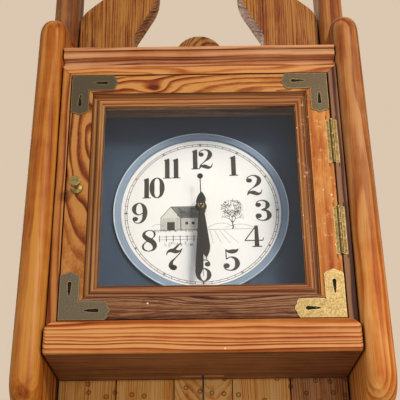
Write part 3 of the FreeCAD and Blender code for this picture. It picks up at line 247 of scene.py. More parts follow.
    shown = add(tree, "ValToRGB", {"Fac": tone}, stops=stained(stain)).outputs["Color"]
    # painted light and shade: towards the top the colour turns to a second brown, darker where the board is
    # lit less and paler where it is lit more
    if painted_shading_by_height:
        upper = add(tree, "ValToRGB", {"Fac": tone}, stops=stained(painted_shading_by_height[2])).outputs["Color"]
        level = add(tree, "MapRange", {"Value": add(tree, "SeparateXYZ", {0: place}).outputs["Z"],
                                       "From Min": painted_shading_by_height[0], "From Max": painted_shading_by_height[1]},
                    interpolation_type="SMOOTHSTEP").outputs["Result"]
        shown = blend(tree, level, shown, upper)
    if bead:
        # the moulding is a strip of its own round the glass, straight-grained and a browner stain
        spot = add(tree, "SeparateXYZ", {0: place})
        level = maths(tree, "ABSOLUTE", maths(tree, "ADD", spot.outputs["Z"], -HANDS_Z))
        level = maths(tree, "SUBTRACT", level, DOOR_HALF_HIGH - DOOR_HALF_WIDE)
        aside = maths(tree, "ABSOLUTE", spot.outputs["X"])
        reached = maths(tree, "SUBTRACT", DOOR_HALF_WIDE, maths(tree, "MAXIMUM", aside, level))
        inside = maths(tree, "GREATER_THAN", reached, BEAD_IN)
        reed = add(tree, "CombineXYZ", {0: wide, 1: local.outputs["Y"], 2: along})
        reed = vectors(tree, "MULTIPLY", reed, (1 / 2.8, 1 / 2.8, 1 / 190))
        reed = add(tree, "TexNoise", {"Vector": reed, "Scale": 1.0, "Detail": 3.0, "Roughness": 0.6})
        reed = maths(tree, "MULTIPLY_ADD", reed, 2.0, -0.62)
        strip = add(tree, "ValToRGB", {"Fac": reed}, stops=stained(bead)).outputs["Color"]
        shown = blend(tree, inside, shown, strip)
        # painted shade: the moulding's grooves are painted near-black for the shade that lies in them
        for quirk in QUIRKS:
            gap = maths(tree, "ABSOLUTE", maths(tree, "SUBTRACT", reached, quirk))
            dark = add(tree, "MapRange", {"Value": gap, "From Min": 0.35, "From Max": 1.1, "To Min": 0.85,
                                          "To Max": 0.0}, interpolation_type="SMOOTHSTEP").outputs["Result"]
            shown = blend(tree, dark, shown, colour("2a150a"))
    # painted shade, with old polish and dirt: every corner and every joint is darkened by how closed in it is
    shown = blend(tree, maths(tree, "MULTIPLY", corner_shade_and_dirt(tree, 0.005, 0.3, 0.8), 0.85), shown, colour("241007"))
    if pegs:
        shown = blend(tree, maths(tree, "MULTIPLY", plug, 0.8), shown, colour("5e4a35"))
    if smears:
        wiped = add(tree, "TexNoise", {"Vector": place, "Scale": 1 / 9, "Detail": 4.0, "Roughness": 0.6})
        wiped = add(tree, "MapRange", {"Value": wiped, "From Min": 0.60, "From Max": 0.72, "To Max": smears})
        shown = blend(tree, wiped.outputs["Result"], shown, colour("e2c39a"))
    if flecks:
        spots = add(tree, "TexVoronoi", {"Vector": place, "Scale": 1 / 13, "Randomness": 1.0})
        lot = add(tree, "SeparateColor", {"Color": spots.outputs["Color"]})
        chosen = maths(tree, "GREATER_THAN", lot.outputs["Red"], 1 - flecks)
        spot_size = maths(tree, "MULTIPLY_ADD", lot.outputs["Green"], 0.07, 0.04)
        close = maths(tree, "LESS_THAN", spots.outputs["Distance"], spot_size)
        paint = maths(tree, "MULTIPLY", maths(tree, "MULTIPLY", chosen, close), 0.85)
        shown = blend(tree, paint, shown, colour("f0e6d6"))
    rough = add(tree, "MapRange", {"Value": tone, "From Min": 0.0, "From Max": 1.0, "To Min": 0.46,
                                   "To Max": 0.62})
    bump = add(tree, "Bump", {"Height": height, "Strength": 0.45 + 0.4 * cracks, "Distance": 0.00035})
    shader = add(tree, "BsdfPrincipled", {"Base Color": shown, "Roughness": rough.outputs["Result"],
                                          "Normal": bump, "IOR": 1.45, "Specular IOR Level": 0.32})
    add(tree, "OutputMaterial", {"Surface": shader})
    return material


# ------------------------------------------------------------------ metals, glass, paint and card
def metal(name, bright, dull, tarnish, rough, spread=9.0, metallic=1.0, edge=None):
    """Sheet or turned metal gone dull in patches: slow noise picks between the bright and the dull colour.

    edge is the paler colour painted along the edges: bare metal where handling rubs them, and a painted
    highlight where the bevels catch the light.
    """
    material, tree, place = start(name)
    patch = add(tree, "TexNoise", {"Vector": place, "Scale": 1 / spread, "Detail": 5.0, "Roughness": 0.6})
    grain = add(tree, "TexNoise", {"Vector": place, "Scale": 1.1, "Detail": 2.0})
    amount = add(tree, "MapRange", {"Value": patch, "From Min": 0.62 - tarnish * 0.5,
                                    "From Max": 0.82 - tarnish * 0.5})
    amount = amount.outputs["Result"]
    shown = blend(tree, amount, colour(bright), colour(dull))
    # painted highlight with wear: the edges turn to the paler colour, as rubbed metal and as bevels catching
    # the light
    if edge:
        rubbed = edge_wear_and_highlight(tree, 0.0016, 0.01, 0.10)
        shown = blend(tree, rubbed, shown, colour(edge))
    gloss = add(tree, "MapRange", {"Value": patch, "From Min": 0.3, "From Max": 0.7, "To Min": rough - 0.08,
                                   "To Max": rough + 0.14})
    bump = add(tree, "Bump", {"Height": grain, "Strength": 0.25, "Distance": 0.00008})
    shader = add(tree, "BsdfPrincipled", {"Base Color": shown, "Metallic": metallic, "Normal": bump,
                                          "Roughness": gloss.outputs["Result"]})
    add(tree, "OutputMaterial", {"Surface": shader})
    return material


# painted highlight: the dial pan's rolled edge is painted pale from here out, as if it caught the light
RIM_HIGHLIGHT_AT = 115.4    # where the dial pan's rolled edge begins (mm)


def painted(name, light, dark, rough, patch=40.0, fleck=0.0, orange_peel=0.15, specular=0.5, rim=None):
    """Paint or moulded plastic: a slow change between two near colours, a fine skin, and optional dust flecks.

    rim is the colour of a painted highlight on a dish's rolled edge, past RIM_HIGHLIGHT_AT from the hands'
    axis.
    """
    material, tree, place = start(name)
    cloud = add(tree, "TexNoise", {"Vector": place, "Scale": 1 / patch, "Detail": 4.0, "Roughness": 0.6})
    shown = blend(tree, cloud, colour(light), colour(dark))
    skin = add(tree, "TexNoise", {"Vector": place, "Scale": 1.4, "Detail": 2.0})
    if fleck:
        dust = add(tree, "TexNoise", {"Vector": place, "Scale": 0.9, "Detail": 1.0})
        much = add(tree, "MapRange", {"Value": dust, "From Min": 0.60, "From Max": 0.72, "To Max": fleck})
        shown = blend(tree, much.outputs["Result"], shown, colour("9a9a98"))
    # painted highlight on the rolled edge
    if rim:
        out = vectors(tree, "MULTIPLY", vectors(tree, "SUBTRACT", place, (0.0, 0.0, HANDS_Z)),
                      (1.0, 0.0, 1.0))
        out = vectors(tree, "LENGTH", out).outputs["Value"]
        edge = add(tree, "MapRange", {"Value": out, "From Min": RIM_HIGHLIGHT_AT, "From Max": RIM_HIGHLIGHT_AT + 0.6})
        shown = blend(tree, edge.outputs["Result"], shown, colour(rim))
    uneven = add(tree, "MapRange", {"Value": cloud, "To Min": rough - 0.05, "To Max": rough + 0.08})
    bump = add(tree, "Bump", {"Height": skin, "Strength": orange_peel, "Distance": 0.0001})
    shader = add(tree, "BsdfPrincipled", {"Base Color": shown, "Roughness": uneven.outputs["Result"],
                                          "Normal": bump, "IOR": 1.5, "Specular IOR Level": specular})
    add(tree, "OutputMaterial", {"Surface": shader})
    return material


def window_glass(name):
    """Drawn sheet glass with a faint haze of dust: clear, and it lets the lamps through to what it covers."""
    material, tree, place = start(name)
    haze = add(tree, "TexNoise", {"Vector": place, "Scale": 1 / 45, "Detail": 3.0})
    smear = add(tree, "MapRange", {"Value": haze, "To Min": 0.0, "To Max": 0.02})
    glass = add(tree, "BsdfPrincipled", {"Base Color": colour("f4f8f8"), "Roughness": smear.outputs["Result"],
                                         "IOR": 1.5, "Specular IOR Level": 0.2, "Transmission Weight": 1.0})
    clear = add(tree, "BsdfTransparent", {"Color": colour("f2f5f5")})
    lamp = add(tree, "LightPath").outputs["Is Shadow Ray"]
    both = add(tree, "MixShader", {0: lamp, 1: glass, 2: clear})
    add(tree, "OutputMaterial", {"Surface": both})
    return material


# ------------------------------------------------------------------ drawn shapes
STATIONS = 26    # cross sections along a stroke


def flow(knots, stations=STATIONS, closed=False):
    """A smooth run through knots (x, z, width): cubic Hermite curves, their slopes taken from the neighbours.

    The parameter grows by the square root of each gap.  A closed run borrows two knots from its other end.
    """
    k = np.asarray(knots, float)
    if closed:
        k = np.vstack([k[-2:], k, k[:3]])
    t = np.concatenate([[0.0], np.cumsum(np.sqrt(np.linalg.norm(np.diff(k[:, :2], axis=0), axis=1)))])
    slope = np.gradient(k, t, axis=0)
    s = np.linspace(t[2], t[-3], stations) if closed else np.linspace(0.0, t[-1], stations)
    i = np.clip(np.searchsorted(t, s, side="right") - 1, 0, len(t) - 2)
    h = (t[i + 1] - t[i])[:, None]
    u = (s - t[i])[:, None] / h
    return ((2 * u ** 3 - 3 * u ** 2 + 1) * k[i] + (u ** 3 - 2 * u ** 2 + u) * h * slope[i]
            + (3 * u ** 2 - 2 * u ** 3) * k[i + 1] + (u ** 3 - u ** 2) * h * slope[i + 1])


def bar(x0, z0, x1, z1, w0, w1=None):
    """A straight run from (x0, z0) to (x1, z1), its width going evenly from w0 to w1."""
    return np.linspace((x0, z0, w0), (x1, z1, w0 if w1 is None else w1), STATIONS)


def disc(x, z, radius):
    """A round spot: across it, the width is 2 r sin(a) where the place is x - r cos(a)."""
    a = np.linspace(0.04, math.pi - 0.04, STATIONS)
    return np.stack([x - radius * np.cos(a), np.full(STATIONS, float(z)), 2 * radius * np.sin(a)], 1)


def slabs(runs, front, back):
    """Flat closed strokes from runs of (x, z, width): each station is widened along the run's normal.

    runs is (strokes, stations, 3) in mm.  Every stroke is a capped four-cornered tube from Y = front to back.
    """
    runs = np.asarray(runs, float)
    place, half = runs[..., :2], runs[..., 2:] / 2
    along = np.gradient(place, axis=1)
    along /= np.maximum(np.linalg.norm(along, axis=2, keepdims=True), 1e-9)
    side = np.stack([-along[..., 1], along[..., 0]], 2) * half
    edge = np.stack([place + side, place - side, place - side, place + side], 2)
    deep = np.broadcast_to(np.array([front, front, back, back]), edge.shape[:3])
    points = np.stack([edge[..., 0], deep, edge[..., 1]], 3)
    k, n = runs.shape[:2]
    first = np.arange(k * n).reshape(k, n) * 4
    c = np.arange(4)
    here, there = first[:, :-1, None], first[:, 1:, None]
    walls = np.stack([here + c, here + (c + 1) % 4, there + (c + 1) % 4, there + c], 3).reshape(-1, 4)
    caps = np.concatenate([first[:, :1] + np.array([0, 3, 2, 1]), first[:, -1:] + c])
    return points.reshape(-1, 3), np.concatenate([walls, caps])


def piece(name, points, faces, material, body):
    """A mesh object from points in mm and four-cornered faces, with its material and body."""
    mesh = bpy.data.meshes.new(name)
    mesh.from_pydata((points * MM).tolist(), [], faces.tolist())
    mesh.materials.append(material)
    mesh.validate()
    made = bpy.data.objects.new(name, mesh)
    bpy.context.scene.collection.objects.link(made)
    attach(made, body)


# ------------------------------------------------------------------ camera
eye = bpy.data.cameras.new("camera")
eye.lens, eye.sensor_width = 78.07, 36.0
camera = bpy.data.objects.new("camera", eye)
bpy.context.scene.collection.objects.link(camera)
PITCH, YAW, ROLL = 0.446902, -0.00144106, -0.0116601
ahead = np.array([math.sin(YAW) * math.cos(PITCH), math.cos(YAW) * math.cos(PITCH), math.sin(PITCH)])
right = np.array([math.cos(YAW), -math.sin(YAW), 0.0])
above = np.cross(right, ahead)
across = math.cos(ROLL) * right + math.sin(ROLL) * above
upward = -math.sin(ROLL) * right + math.cos(ROLL) * above
EYE = (0.000236, -1.13142, -0.75829)
turned = np.stack([across, upward, -ahead], 1).tolist()
camera.matrix_world = Matrix([[*row, spot] for row, spot in zip(turned, EYE)] + [[0, 0, 0, 1]])
bpy.context.scene.camera = camera

# ------------------------------------------------------------------ finishes on the CAD nodes
PLANK = dict(lines=0.55, streaks=1.2, fibre=0.8, ring=3.0, wander=2.5, pegs=0.55)
# painted shade: the horns and plank tops turn darker towards the top, where less light reaches
LEFT_HORN = dict(PLANK, painted_shading_by_height=(-300, -120, "875018"), lean=(0.03, 0.05))
RIGHT_HORN = dict(PLANK, painted_shading_by_height=(-300, -120, "8c5119"), lean=(-0.03, 0.05))
WOOD = {
    # node: stain, grain, a point on the heart line (mm), and what sets this board apart
    # painted shade: the left board's posts turn darker towards the top
    "left_side_board": ("a6621a", "Z", (-330, 40, 0), dict(ring=11, wander=4, lines=0.35, streaks=1.3,
                                                           lean=(-0.02, 0.0), painted_shading_by_height=(-12, 40, "77451d"))),
    # painted light: the right board is paler low down, where it is lit, and darker above
    "right_side_board": ("c9853c", "Z", (345, 60, 0),
                         dict(ring=9, wander=5, lines=0.5, streaks=1.1, flecks=0.05, lean=(0.02, 0.0),
                              painted_shading_by_height=(-430, -230, "9c5f2b"))),
    "back_plank_1": ("d49849", "Z", (-235, 30, 0), LEFT_HORN),
    "back_plank_2": ("da9f50", "Z", (-235, 30, 0), LEFT_HORN),
    "back_plank_3": ("da9f50", "Z", (20, 10, -60),
                     dict(PLANK, painted_shading_by_height=(-300, -120, "84511f"), lean=(0.02, 0.25))),
    "back_plank_4": ("da9f52", "Z", (235, 30, 0), RIGHT_HORN),
    # partly painted shadow: the right-most plank is given a darker brown, for the clock head's shadow on it as
    # well as its own colour
    "back_plank_5": ("9c6534", "Z", (235, 30, 0), RIGHT_HORN),
    "case_top": ("b27034", "X", (0, -20, -140), dict(ring=3.5, lean=(0.01, 0.0), lines=0.7)),
    "case_left_side": ("99591f", "Z", (-230, -60, 0), dict(ring=4.0, wander=3, lines=0.6)),
    # painted shadow: the case's right side is given a much darker brown than its left side, for the shadow of
    # the right side board
    "case_right_side": ("653a1f", "Z", (230, -60, 0), dict(ring=4.0, wander=3, lines=0.7, flecks=0.08)),
    "cornice_moulding": ("b07549", "X", (0, 40, -180), dict(ring=5.5, wander=4, lines=0.55, lean=(0.012, 0.0),
                                                            flecks=0.03)),
    # painted shade: the shelf's underside keeps the dark brown and the faces above it the paler one, for the
    # shade under the shelf
    "case_shelf": ("6c4021", "X", (-40, 270, -880),
                   dict(ring=3.2, wander=3, lines=0.8, streaks=0.6, flecks=0.03,
                        painted_shading_by_height=(-486.5, -485.9, "bb783a"))),
    "bottom_rail": ("a8642a", "X", (0, 40, -900), dict(ring=5.0)),
    "plank_batten": ("bd8642", "X", (0, 60, -400), dict(ring=4.5)),
    "panel_cleats": ("8a6a5c", "X", (0, -200, -60), dict(ring=6.0, lines=0.3)),
    "door_left_stile": ("9b5e23", "Z", (-140, -146, -205),
                        dict(ring=10.0, lean=(-0.10, 0.29), wander=5, lines=1.6, streaks=0.6, fade=42,
                             bead="90612d", knots=((-173, -247, 5.0),))),
    "door_right_stile": ("b46c23", "Z", (330, -190, 0),
                         dict(ring=9.0, lean=(0.03, 0.1), lines=0.3, streaks=0.8, flecks=0.30, smears=0.6,
                              bead="9c6433")),
    "door_top_rail": ("a96a2b", "X", (60, -150, -128), dict(ring=7.0, lean=(0.05, 0.12), wander=6, lines=1.1,
                                                          knots=((-60, -120, 7.5),), bead="aa7443")),
    "door_bottom_rail": ("7e5334", "X", (0, -200, -330),
                         dict(ring=4.0, wander=9, lines=0.5, cracks=0.4, flecks=0.04, bead="a06d46")),
    "glass_beads_upright": ("8f623d", "Z", (0, -60, 0), dict(ring=5.0, wander=4, lines=0.6)),
    "glass_beads_level": ("96633c", "X", (0, -60, 400), dict(ring=5.0, wander=4, lines=0.6)),
}
for node, (stain, grain, heart, more) in WOOD.items():
    coat([node], pine("pine_" + node, stain, grain, heart, **more))

# Pressed brass sheet, browned long ago: olive-brown and finely mottled, paler along its edges, from wear and a
# painted highlight.
BRASS = {
    # bracket: tint, bright, dull, tarnish, width of the mottling (mm), bare edges.  The rows are lit and
    # shaded
    # copies of one brass: each corner's colours are painted lighter or darker for how it is lit.
    "top_left": ("dark", "6a624f", "544d3e", 0.55, 1.6, "a8986a"),
    "top_right": ("dull", "6a5f4a", "554b3b", 0.50, 1.6, "b8a878"),
    "bottom_left": ("brown", "7f7660", "696050", 0.55, 1.6, "b5a679"),
    "bottom_right": ("bright", "b5a16e", "998759", 0.40, 2.0, "e0cd96"),
}
for bracket, (painted_lighting, bright, dull, tarnish, mottle, edge) in BRASS.items():
    brass = metal("brass_bracket_" + painted_lighting, bright, dull, tarnish, 0.50, mottle, 0.75, edge)
    coat(["corner_bracket_" + bracket], brass)
coat(["bracket_pins", "hanger_screws", "panel_screws", "knob_screw", "hanger_plate"],
     metal("aged_brass_pins", "5c4f35", "2a2419", 0.6, 0.5))
coat(["upper_hinge_door_leaf", "lower_hinge_door_leaf", "upper_hinge_case_leaf", "lower_hinge_case_leaf",
      "upper_hinge_pin", "lower_hinge_pin", "hinge_screws_door", "hinge_screws_case"],
     metal("worn_brass_sheet", "7f6e47", "665735", 0.5, 0.46, 3.0, 0.85, "c4b077"))
coat(["door_knob"], metal("turned_brass_knob", "a3935a", "83734a", 0.4, 0.46, 5.0, 0.85, "c9b67c"))
coat(["pendulum_bob", "rating_nut", "movement_nut"], metal("spun_brass", "d9b765", "a98640", 0.25, 0.22))
coat(["pendulum_rod", "pendulum_hook", "strike_plate"], metal("zinc_steel", "7c7a76", "56544f", 0.4, 0.45))
coat(["door_glass"], window_glass("sheet_glass"))
coat(["dial_panel"], painted("slate_painted_board", "2f4560", "25374d", 0.62, fleck=0.06, specular=0.25))
# the pan's pale rim is a painted highlight
coat(["dial_pan"],
     painted("grey_enamelled_pan", "7d90a8", "70839c", 0.6, patch=60.0, specular=0.25, rim="b8c6d6"))
coat(["dial_face"],
     painted("cream_printed_card", "dcdde2", "d8d8dc", 0.6, patch=55.0, orange_peel=0.05, specular=0.3))
coat(["hour_hand", "minute_hand", "second_hand"],
     painted("black_lacquered_sheet", "15161b", "0b0c10", 0.5, patch=9.0, specular=0.3))
coat(["movement_case", "movement_cover", "magnetic_catch"],
     painted("black_moulded_plastic", "1b1b1d", "141416", 0.5))
coat(["hour_wheel", "minute_wheel", "second_wheel", "set_knob"],
     painted("white_moulded_plastic", "e6e4de", "d8d5cc", 0.45))
coat(["battery"], painted("green_cell_label", "1d5a41", "164a35", 0.3, patch=20.0))

# ------------------------------------------------------------------ numerals
# Fat-faced figures ten units high: every run goes through knots (x, z, width), and is thick where upright.
THIN = 0.5
ONE = [bar(2.2, 0.1, 2.2, 9.5, 2.1), bar(0.9, 8.7, 3.0, 9.9, THIN, 0.5), bar(0.5, 0.2, 3.9, 0.2, THIN)]
TWO = [disc(1.45, 7.35, 1.1),
       flow([(0.55, 7.5, 0.6), (1.0, 8.9, 0.5), (2.9, 9.8, THIN), (4.7, 9.0, 1.3), (5.2, 7.3, 2.1),
             (4.4, 5.4, 1.5), (2.7, 3.7, 0.5), (1.1, 2.0, THIN), (0.5, 0.2, 0.3)]),
       flow([(0.5, 0.2, 0.3), (1.4, 1.4, 1.1), (2.9, 1.35, 2.0), (4.5, 0.75, 1.5), (5.7, 1.3, 0.6),
             (6.1, 2.9, 0.25)])]
THREE = [disc(1.4, 7.6, 1.05), disc(1.35, 2.4, 1.15),
         flow([(0.6, 7.9, 0.6), (1.2, 9.2, 0.45), (2.9, 9.8, THIN), (4.5, 9.0, 1.2), (4.9, 7.5, 2.0),
               (4.2, 5.9, 1.1), (2.5, 5.25, THIN)]),
         flow([(2.5, 5.25, THIN), (4.4, 4.7, 1.1), (5.3, 2.8, 2.2), (4.6, 0.9, 1.3), (2.8, 0.18, THIN),
               (1.1, 0.8, 0.5), (0.45, 2.1, 0.6)])]
FOUR = [bar(4.5, 0.1, 4.5, 9.9, 2.1, 1.5), bar(4.5, 9.9, 0.2, 3.1, THIN), bar(0.1, 3.0, 6.8, 3.0, THIN),
        bar(6.7, 2.9, 7.0, 4.2, 0.4), bar(2.7, 0.2, 6.3, 0.2, THIN)]
FIVE = [flow([(1.2, 9.7, 0.3), (2.1, 8.8, 1.2), (3.6, 8.7, 2.0), (5.0, 9.0, 1.4), (5.9, 9.9, 0.3)]),
        bar(1.25, 9.7, 1.35, 5.2, THIN), disc(1.35, 2.3, 1.15),
        flow([(1.35, 5.2, THIN), (2.9, 6.2, 0.5), (4.7, 5.3, 1.5), (5.3, 3.2, 2.2), (4.5, 1.0, 1.3),
              (2.8, 0.18, THIN), (1.1, 0.7, 0.5), (0.45, 2.0, 0.6)])]
SIX = [disc(4.8, 7.8, 1.05),
       flow([(5.6, 8.0, 0.5), (5.0, 9.3, 0.45), (3.6, 9.8, THIN), (2.0, 8.6, 1.3), (1.25, 5.3, 2.2),
             (1.7, 1.8, 1.6), (3.3, 0.18, 0.4), (4.8, 1.3, 1.4), (5.3, 3.1, 2.0), (4.8, 5.0, 1.2),
             (3.5, 5.9, THIN), (2.2, 5.1, THIN)])]
SEVEN = [flow([(0.3, 6.9, 0.3), (0.9, 8.4, 0.9), (2.2, 9.0, 1.8), (3.8, 8.5, 1.8), (5.2, 8.7, 0.8),
               (6.1, 9.9, 0.3)]),
         flow([(6.1, 9.9, 0.3), (5.2, 7.7, THIN), (3.6, 5.6, 0.5), (2.2, 3.7, 1.3), (2.0, 2.0, 2.2),
               (2.9, 1.1, 2.1)]),
         disc(2.9, 1.25, 1.25), bar(5.4, 12.2, 2.9, 9.2, 0.55, 1.3)]
EIGHT = [flow([(3.1, 9.8, 0.4), (1.5, 8.9, 0.9), (1.2, 7.4, 1.7), (2.6, 5.7, 2.2), (4.3, 4.4, 2.3),
               (5.1, 2.5, 2.0), (4.6, 0.9, 1.0), (3.1, 0.18, 0.4), (1.3, 0.9, 0.8), (0.8, 2.4, 0.9),
               (1.6, 4.1, 0.5), (3.2, 5.3, THIN), (4.7, 6.6, 0.5), (5.1, 8.0, 0.9), (4.5, 9.3, 0.6)],
              60, closed=True)]
ZERO = [flow([(3.2, 9.85, THIN), (1.7, 8.7, 1.3), (1.1, 5.0, 2.3), (1.7, 1.3, 1.3), (3.2, 0.15, THIN),
              (4.7, 1.3, 1.3), (5.3, 5.0, 2.3), (4.7, 8.7, 1.3)], 60, closed=True)]
NINE = [run * (-1, -1, 1) + (6.4, 10, 0) for run in SIX]
FIGURES = {1: [(ONE, 2.2)], 2: [(TWO, 3.2)], 3: [(THREE, 3.2)], 4: [(FOUR, 3.7)], 5: [(FIVE, 3.2)],
           6: [(SIX, 3.2)], 7: [(SEVEN, 3.2)], 8: [(EIGHT, 3.2)], 9: [(NINE, 3.2)],
           10: [(ONE, 4.35), (ZERO, 1.0)], 11: [(ONE, 4.0), (ONE, 0.3)], 12: [(ONE, 4.45), (TWO, 1.1)]}
FIGURE_HEIGHT = 30.5                 # mm
TWIN_WIDE, LONE_WIDE = 1.05, 1.17    # width over height of the figures in pairs, and of those that stand alone
# how far out from the middle (mm) and how far round (degrees) each hour stands
FIGURE_AT = {1: (80.8, 33.3), 2: (80.0, 62.2), 3: (81.3, 90), 4: (77.0, 118.5), 5: (78.0, 152), 6: (83, 180),
             7: (76, 209), 8: (79.6, 240), 9: (82, 270), 10: (75.5, 299), 11: (76.5, 329), 12: (78.5, 0)}
PRINT_SIZE, PRINT_SHIFT = 1.012, (0.9, -1.6)    # larger than drawn here, and off the card's middle (mm)
DIAL_TURN = math.radians(0.7)                   # the card is pinned on a touch anticlockwise
INK_PROUD, INK_SUNK = 0.06, 0.05                # how far ink stands off the card and reaches into it (mm)

lowest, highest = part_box("dial_face")
centre = np.array([(lowest.x + highest.x) / 2, (lowest.z + highest.z) / 2]) / MM
card_front = lowest.y / MM


def on_card(runs):
    """Turns runs drawn about the card's centre by the card's own turn and moves them to it."""
    c, s = math.cos(DIAL_TURN) * PRINT_SIZE, math.sin(DIAL_TURN) * PRINT_SIZE
    runs = np.array(runs, float)
    x, z = runs[..., 0].copy(), runs[..., 1].copy()
    runs[..., 0] = centre[0] + PRINT_SHIFT[0] + c * x - s * z
    runs[..., 1] = centre[1] + PRINT_SHIFT[1] + s * x + c * z
    return runs


def printing(name, groups, material):
    """One mesh of printed strokes; each group of runs has its own number of stations."""
    points, faces, count = [], [], 0
    for runs in groups:
        p, f = slabs(on_card(runs), card_front - INK_PROUD, card_front + INK_SUNK)
        points.append(p)
        faces.append(f + count)
        count += len(p)
    piece(name, np.concatenate(points), np.concatenate(faces), material, "case")


ink = painted("printers_black_ink", "1e1e1f", "2a2a2a", 0.7, patch=14.0, orange_peel=0.05)
short_runs, long_runs = [], []
for hour, figures in FIGURES.items():
    out, angle = FIGURE_AT[hour]
    angle = math.radians(angle)
    size = FIGURE_HEIGHT / 10
    wide = size * (LONE_WIDE if len(figures) == 1 else TWIN_WIDE)
    place = (out * math.sin(angle), out * math.cos(angle), 0)
    for strokes, middle in figures:
        for run in strokes:
            moved = (run - (middle, 5.0, 0)) * (wide, size, size) + place
            (short_runs if len(run) == STATIONS else long_runs).append(moved)
printing("dial_numerals", [short_runs, long_runs], ink)

# ------------------------------------------------------------------ minute track
TRACK_IN, TRACK_OUT, TRACK_WIDE = 98.6, 101.4, 0.72    # radii of the two lines, and every line's width (mm)
turns = np.linspace(0, 2 * math.pi, 181)
rails = [np.stack([r * np.sin(turns), r * np.cos(turns), np.full(len(turns), TRACK_WIDE)], 1)
         for r in (TRACK_IN, TRACK_OUT)]
minutes = np.radians(np.arange(60) * 6.0)
ticks = np.stack([np.stack([r * np.sin(minutes), r * np.cos(minutes), np.full(60, TRACK_WIDE)], 1)
                  for r in (TRACK_IN, TRACK_OUT)], 1)
hours = np.radians(np.arange(12) * 30.0)
reach = np.where(np.arange(12) % 3 == 0, 3.6, 2.6)
middle = (TRACK_IN + TRACK_OUT) / 2
stars = []    # a four-pointed star at every hour, the quarters larger
for way in (0.0, math.pi / 2):
    steps = []
    for k, width in ((-1, 0.1), (-0.35, 0.75), (0, 1.9), (0.35, 0.75), (1, 0.1)):
        dx, dz = np.sin(hours + way) * reach * k, np.cos(hours + way) * reach * k
        x, z = middle * np.sin(hours) + dx, middle * np.cos(hours) + dz
        steps.append(np.stack([x, z, np.full(12, width)], 1))
    stars.append(np.stack(steps, 1))
printing("dial_minute_track", [rails, ticks, np.concatenate(stars)], ink)

# ------------------------------------------------------------------ farm scene
# A plain pen drawing: a gabled shed seen from one corner, low hills, one round tree and a rail fence.  It
# stays inside the numerals.  Places are mm from the card's middle.
draw = np.random.default_rng(41)


def hatch(low, high, count, lean, length, width):
    """count short pen strokes scattered between two corners: place + lean * length, each shaken a little."""
    low, high = np.array(low, float), np.array(high, float)
    foot = low + draw.random((count, 2)) * (high - low)
    size = length * (0.6 + 0.8 * draw.random((count, 1)))
    tip = foot + size * (np.array(lean) + draw.normal(0, 0.12, (count, 2)) * 0.6)
    mid = (foot + tip) / 2 + draw.normal(0, 0.06, (count, 2)) * size
    weight = width * (0.6 + 0.8 * draw.random((count, 1)))
    return np.stack([np.hstack([foot, weight]), np.hstack([mid, weight * 0.9]),
                     np.hstack([tip, weight * 0.4])], 1)


def lines(*ends, width=0.4):
    """Straight pen lines, each (x0, z0, x1, z1), as three stations with a slight shake at the middle."""
    ends = np.array(ends, float)
    a, b = ends[:, :2], ends[:, 2:]
    m = (a + b) / 2 + draw.normal(0, 0.12, a.shape)
    w = np.full((len(ends), 1), width)
    return np.stack([np.hstack([a, w]), np.hstack([m, w]), np.hstack([b, w * 0.8])], 1)


def plates(quads, front, back):
    """Flat closed patches: each quad, its corners (x, z) in turn, as a thin slab from front to back."""
    quads = np.asarray(quads, float)
    turned = np.cross(quads[:, 1] - quads[:, 0], quads[:, 2] - quads[:, 1]) < 0
    quads[turned] = quads[turned][:, ::-1]
    points = np.concatenate([np.insert(quads, 1, front, axis=2), np.insert(quads, 1, back, axis=2)], 1)
    first = np.arange(len(quads))[:, None, None] * 8
    sides = [(k, k + 4, (k + 1) % 4 + 4, (k + 1) % 4) for k in range(4)]
    shape = np.array([(0, 1, 2, 3), (7, 6, 5, 4)] + sides)
    return points.reshape(-1, 3), (first + shape).reshape(-1, 4)


def wash(name, quads, material, under):
    """Patches of thin ink on the card, under the pen strokes by under (mm) so that no two faces coincide."""
    points, faces = plates(on_card(quads), card_front - INK_PROUD + under, card_front + INK_SUNK)
    piece(name, points, faces, material, "case")


def scribble(middle, half, count, size, width):
    """count short dabs spread evenly over an oval by the square root rule, leaning every way."""
    a, r = draw.random(count) * 2 * math.pi, np.sqrt(0.06 + 0.94 * draw.random(count))
    spot = np.stack([middle[0] + half[0] * r * np.cos(a), middle[1] + half[1] * r * np.sin(a)], 1)
    lean = draw.normal(0, size, spot.shape)
    w = width * (0.6 + 0.8 * draw.random((len(spot), 1)))
    return np.stack([np.hstack([spot - lean / 2, w * 0.5]), np.hstack([spot, w]),
                     np.hstack([spot + lean / 2, w * 0.4])], 1)


GROUND, EAVES, RIDGE = -26.0, -8.0, 8.0                    # the shed's heights
FRONT_LEFT, FRONT_RIGHT, SIDE_RIGHT = -54.0, -28.0, 4.0    # its gable wall, then its long wall
PEAK = (FRONT_LEFT + FRONT_RIGHT) / 2
ROOF_RIGHT = SIDE_RIGHT - (FRONT_RIGHT - PEAK)
pale = [[(FRONT_LEFT, GROUND), (FRONT_RIGHT, GROUND), (FRONT_RIGHT, EAVES), (FRONT_LEFT, EAVES)],
        [(FRONT_LEFT, EAVES), (FRONT_RIGHT, EAVES), (PEAK + 0.2, RIDGE), (PEAK - 0.2, RIDGE)],
        [(FRONT_RIGHT, GROUND), (SIDE_RIGHT, GROUND), (SIDE_RIGHT, EAVES), (FRONT_RIGHT, EAVES)]]
roofs = [[(FRONT_RIGHT, EAVES), (SIDE_RIGHT, EAVES), (ROOF_RIGHT, RIDGE), (PEAK, RIDGE)]]
openings = [[(x, z), (x + w, z), (x + w, z + h), (x, z + h)]
            for x, z, w, h in ((PEAK - 5, GROUND, 10, 12), (-22, -18, 4, 4), (-14, -18, 4, 4))]
wash("farm_wash_pale", pale, painted("pale_ink_wash", "b4b4b2", "d0cfca", 0.7, patch=3.0), 0.04)
wash("farm_wash_dark", roofs, painted("dark_ink_wash", "55565a", "84858a", 0.7, patch=2.5), 0.03)
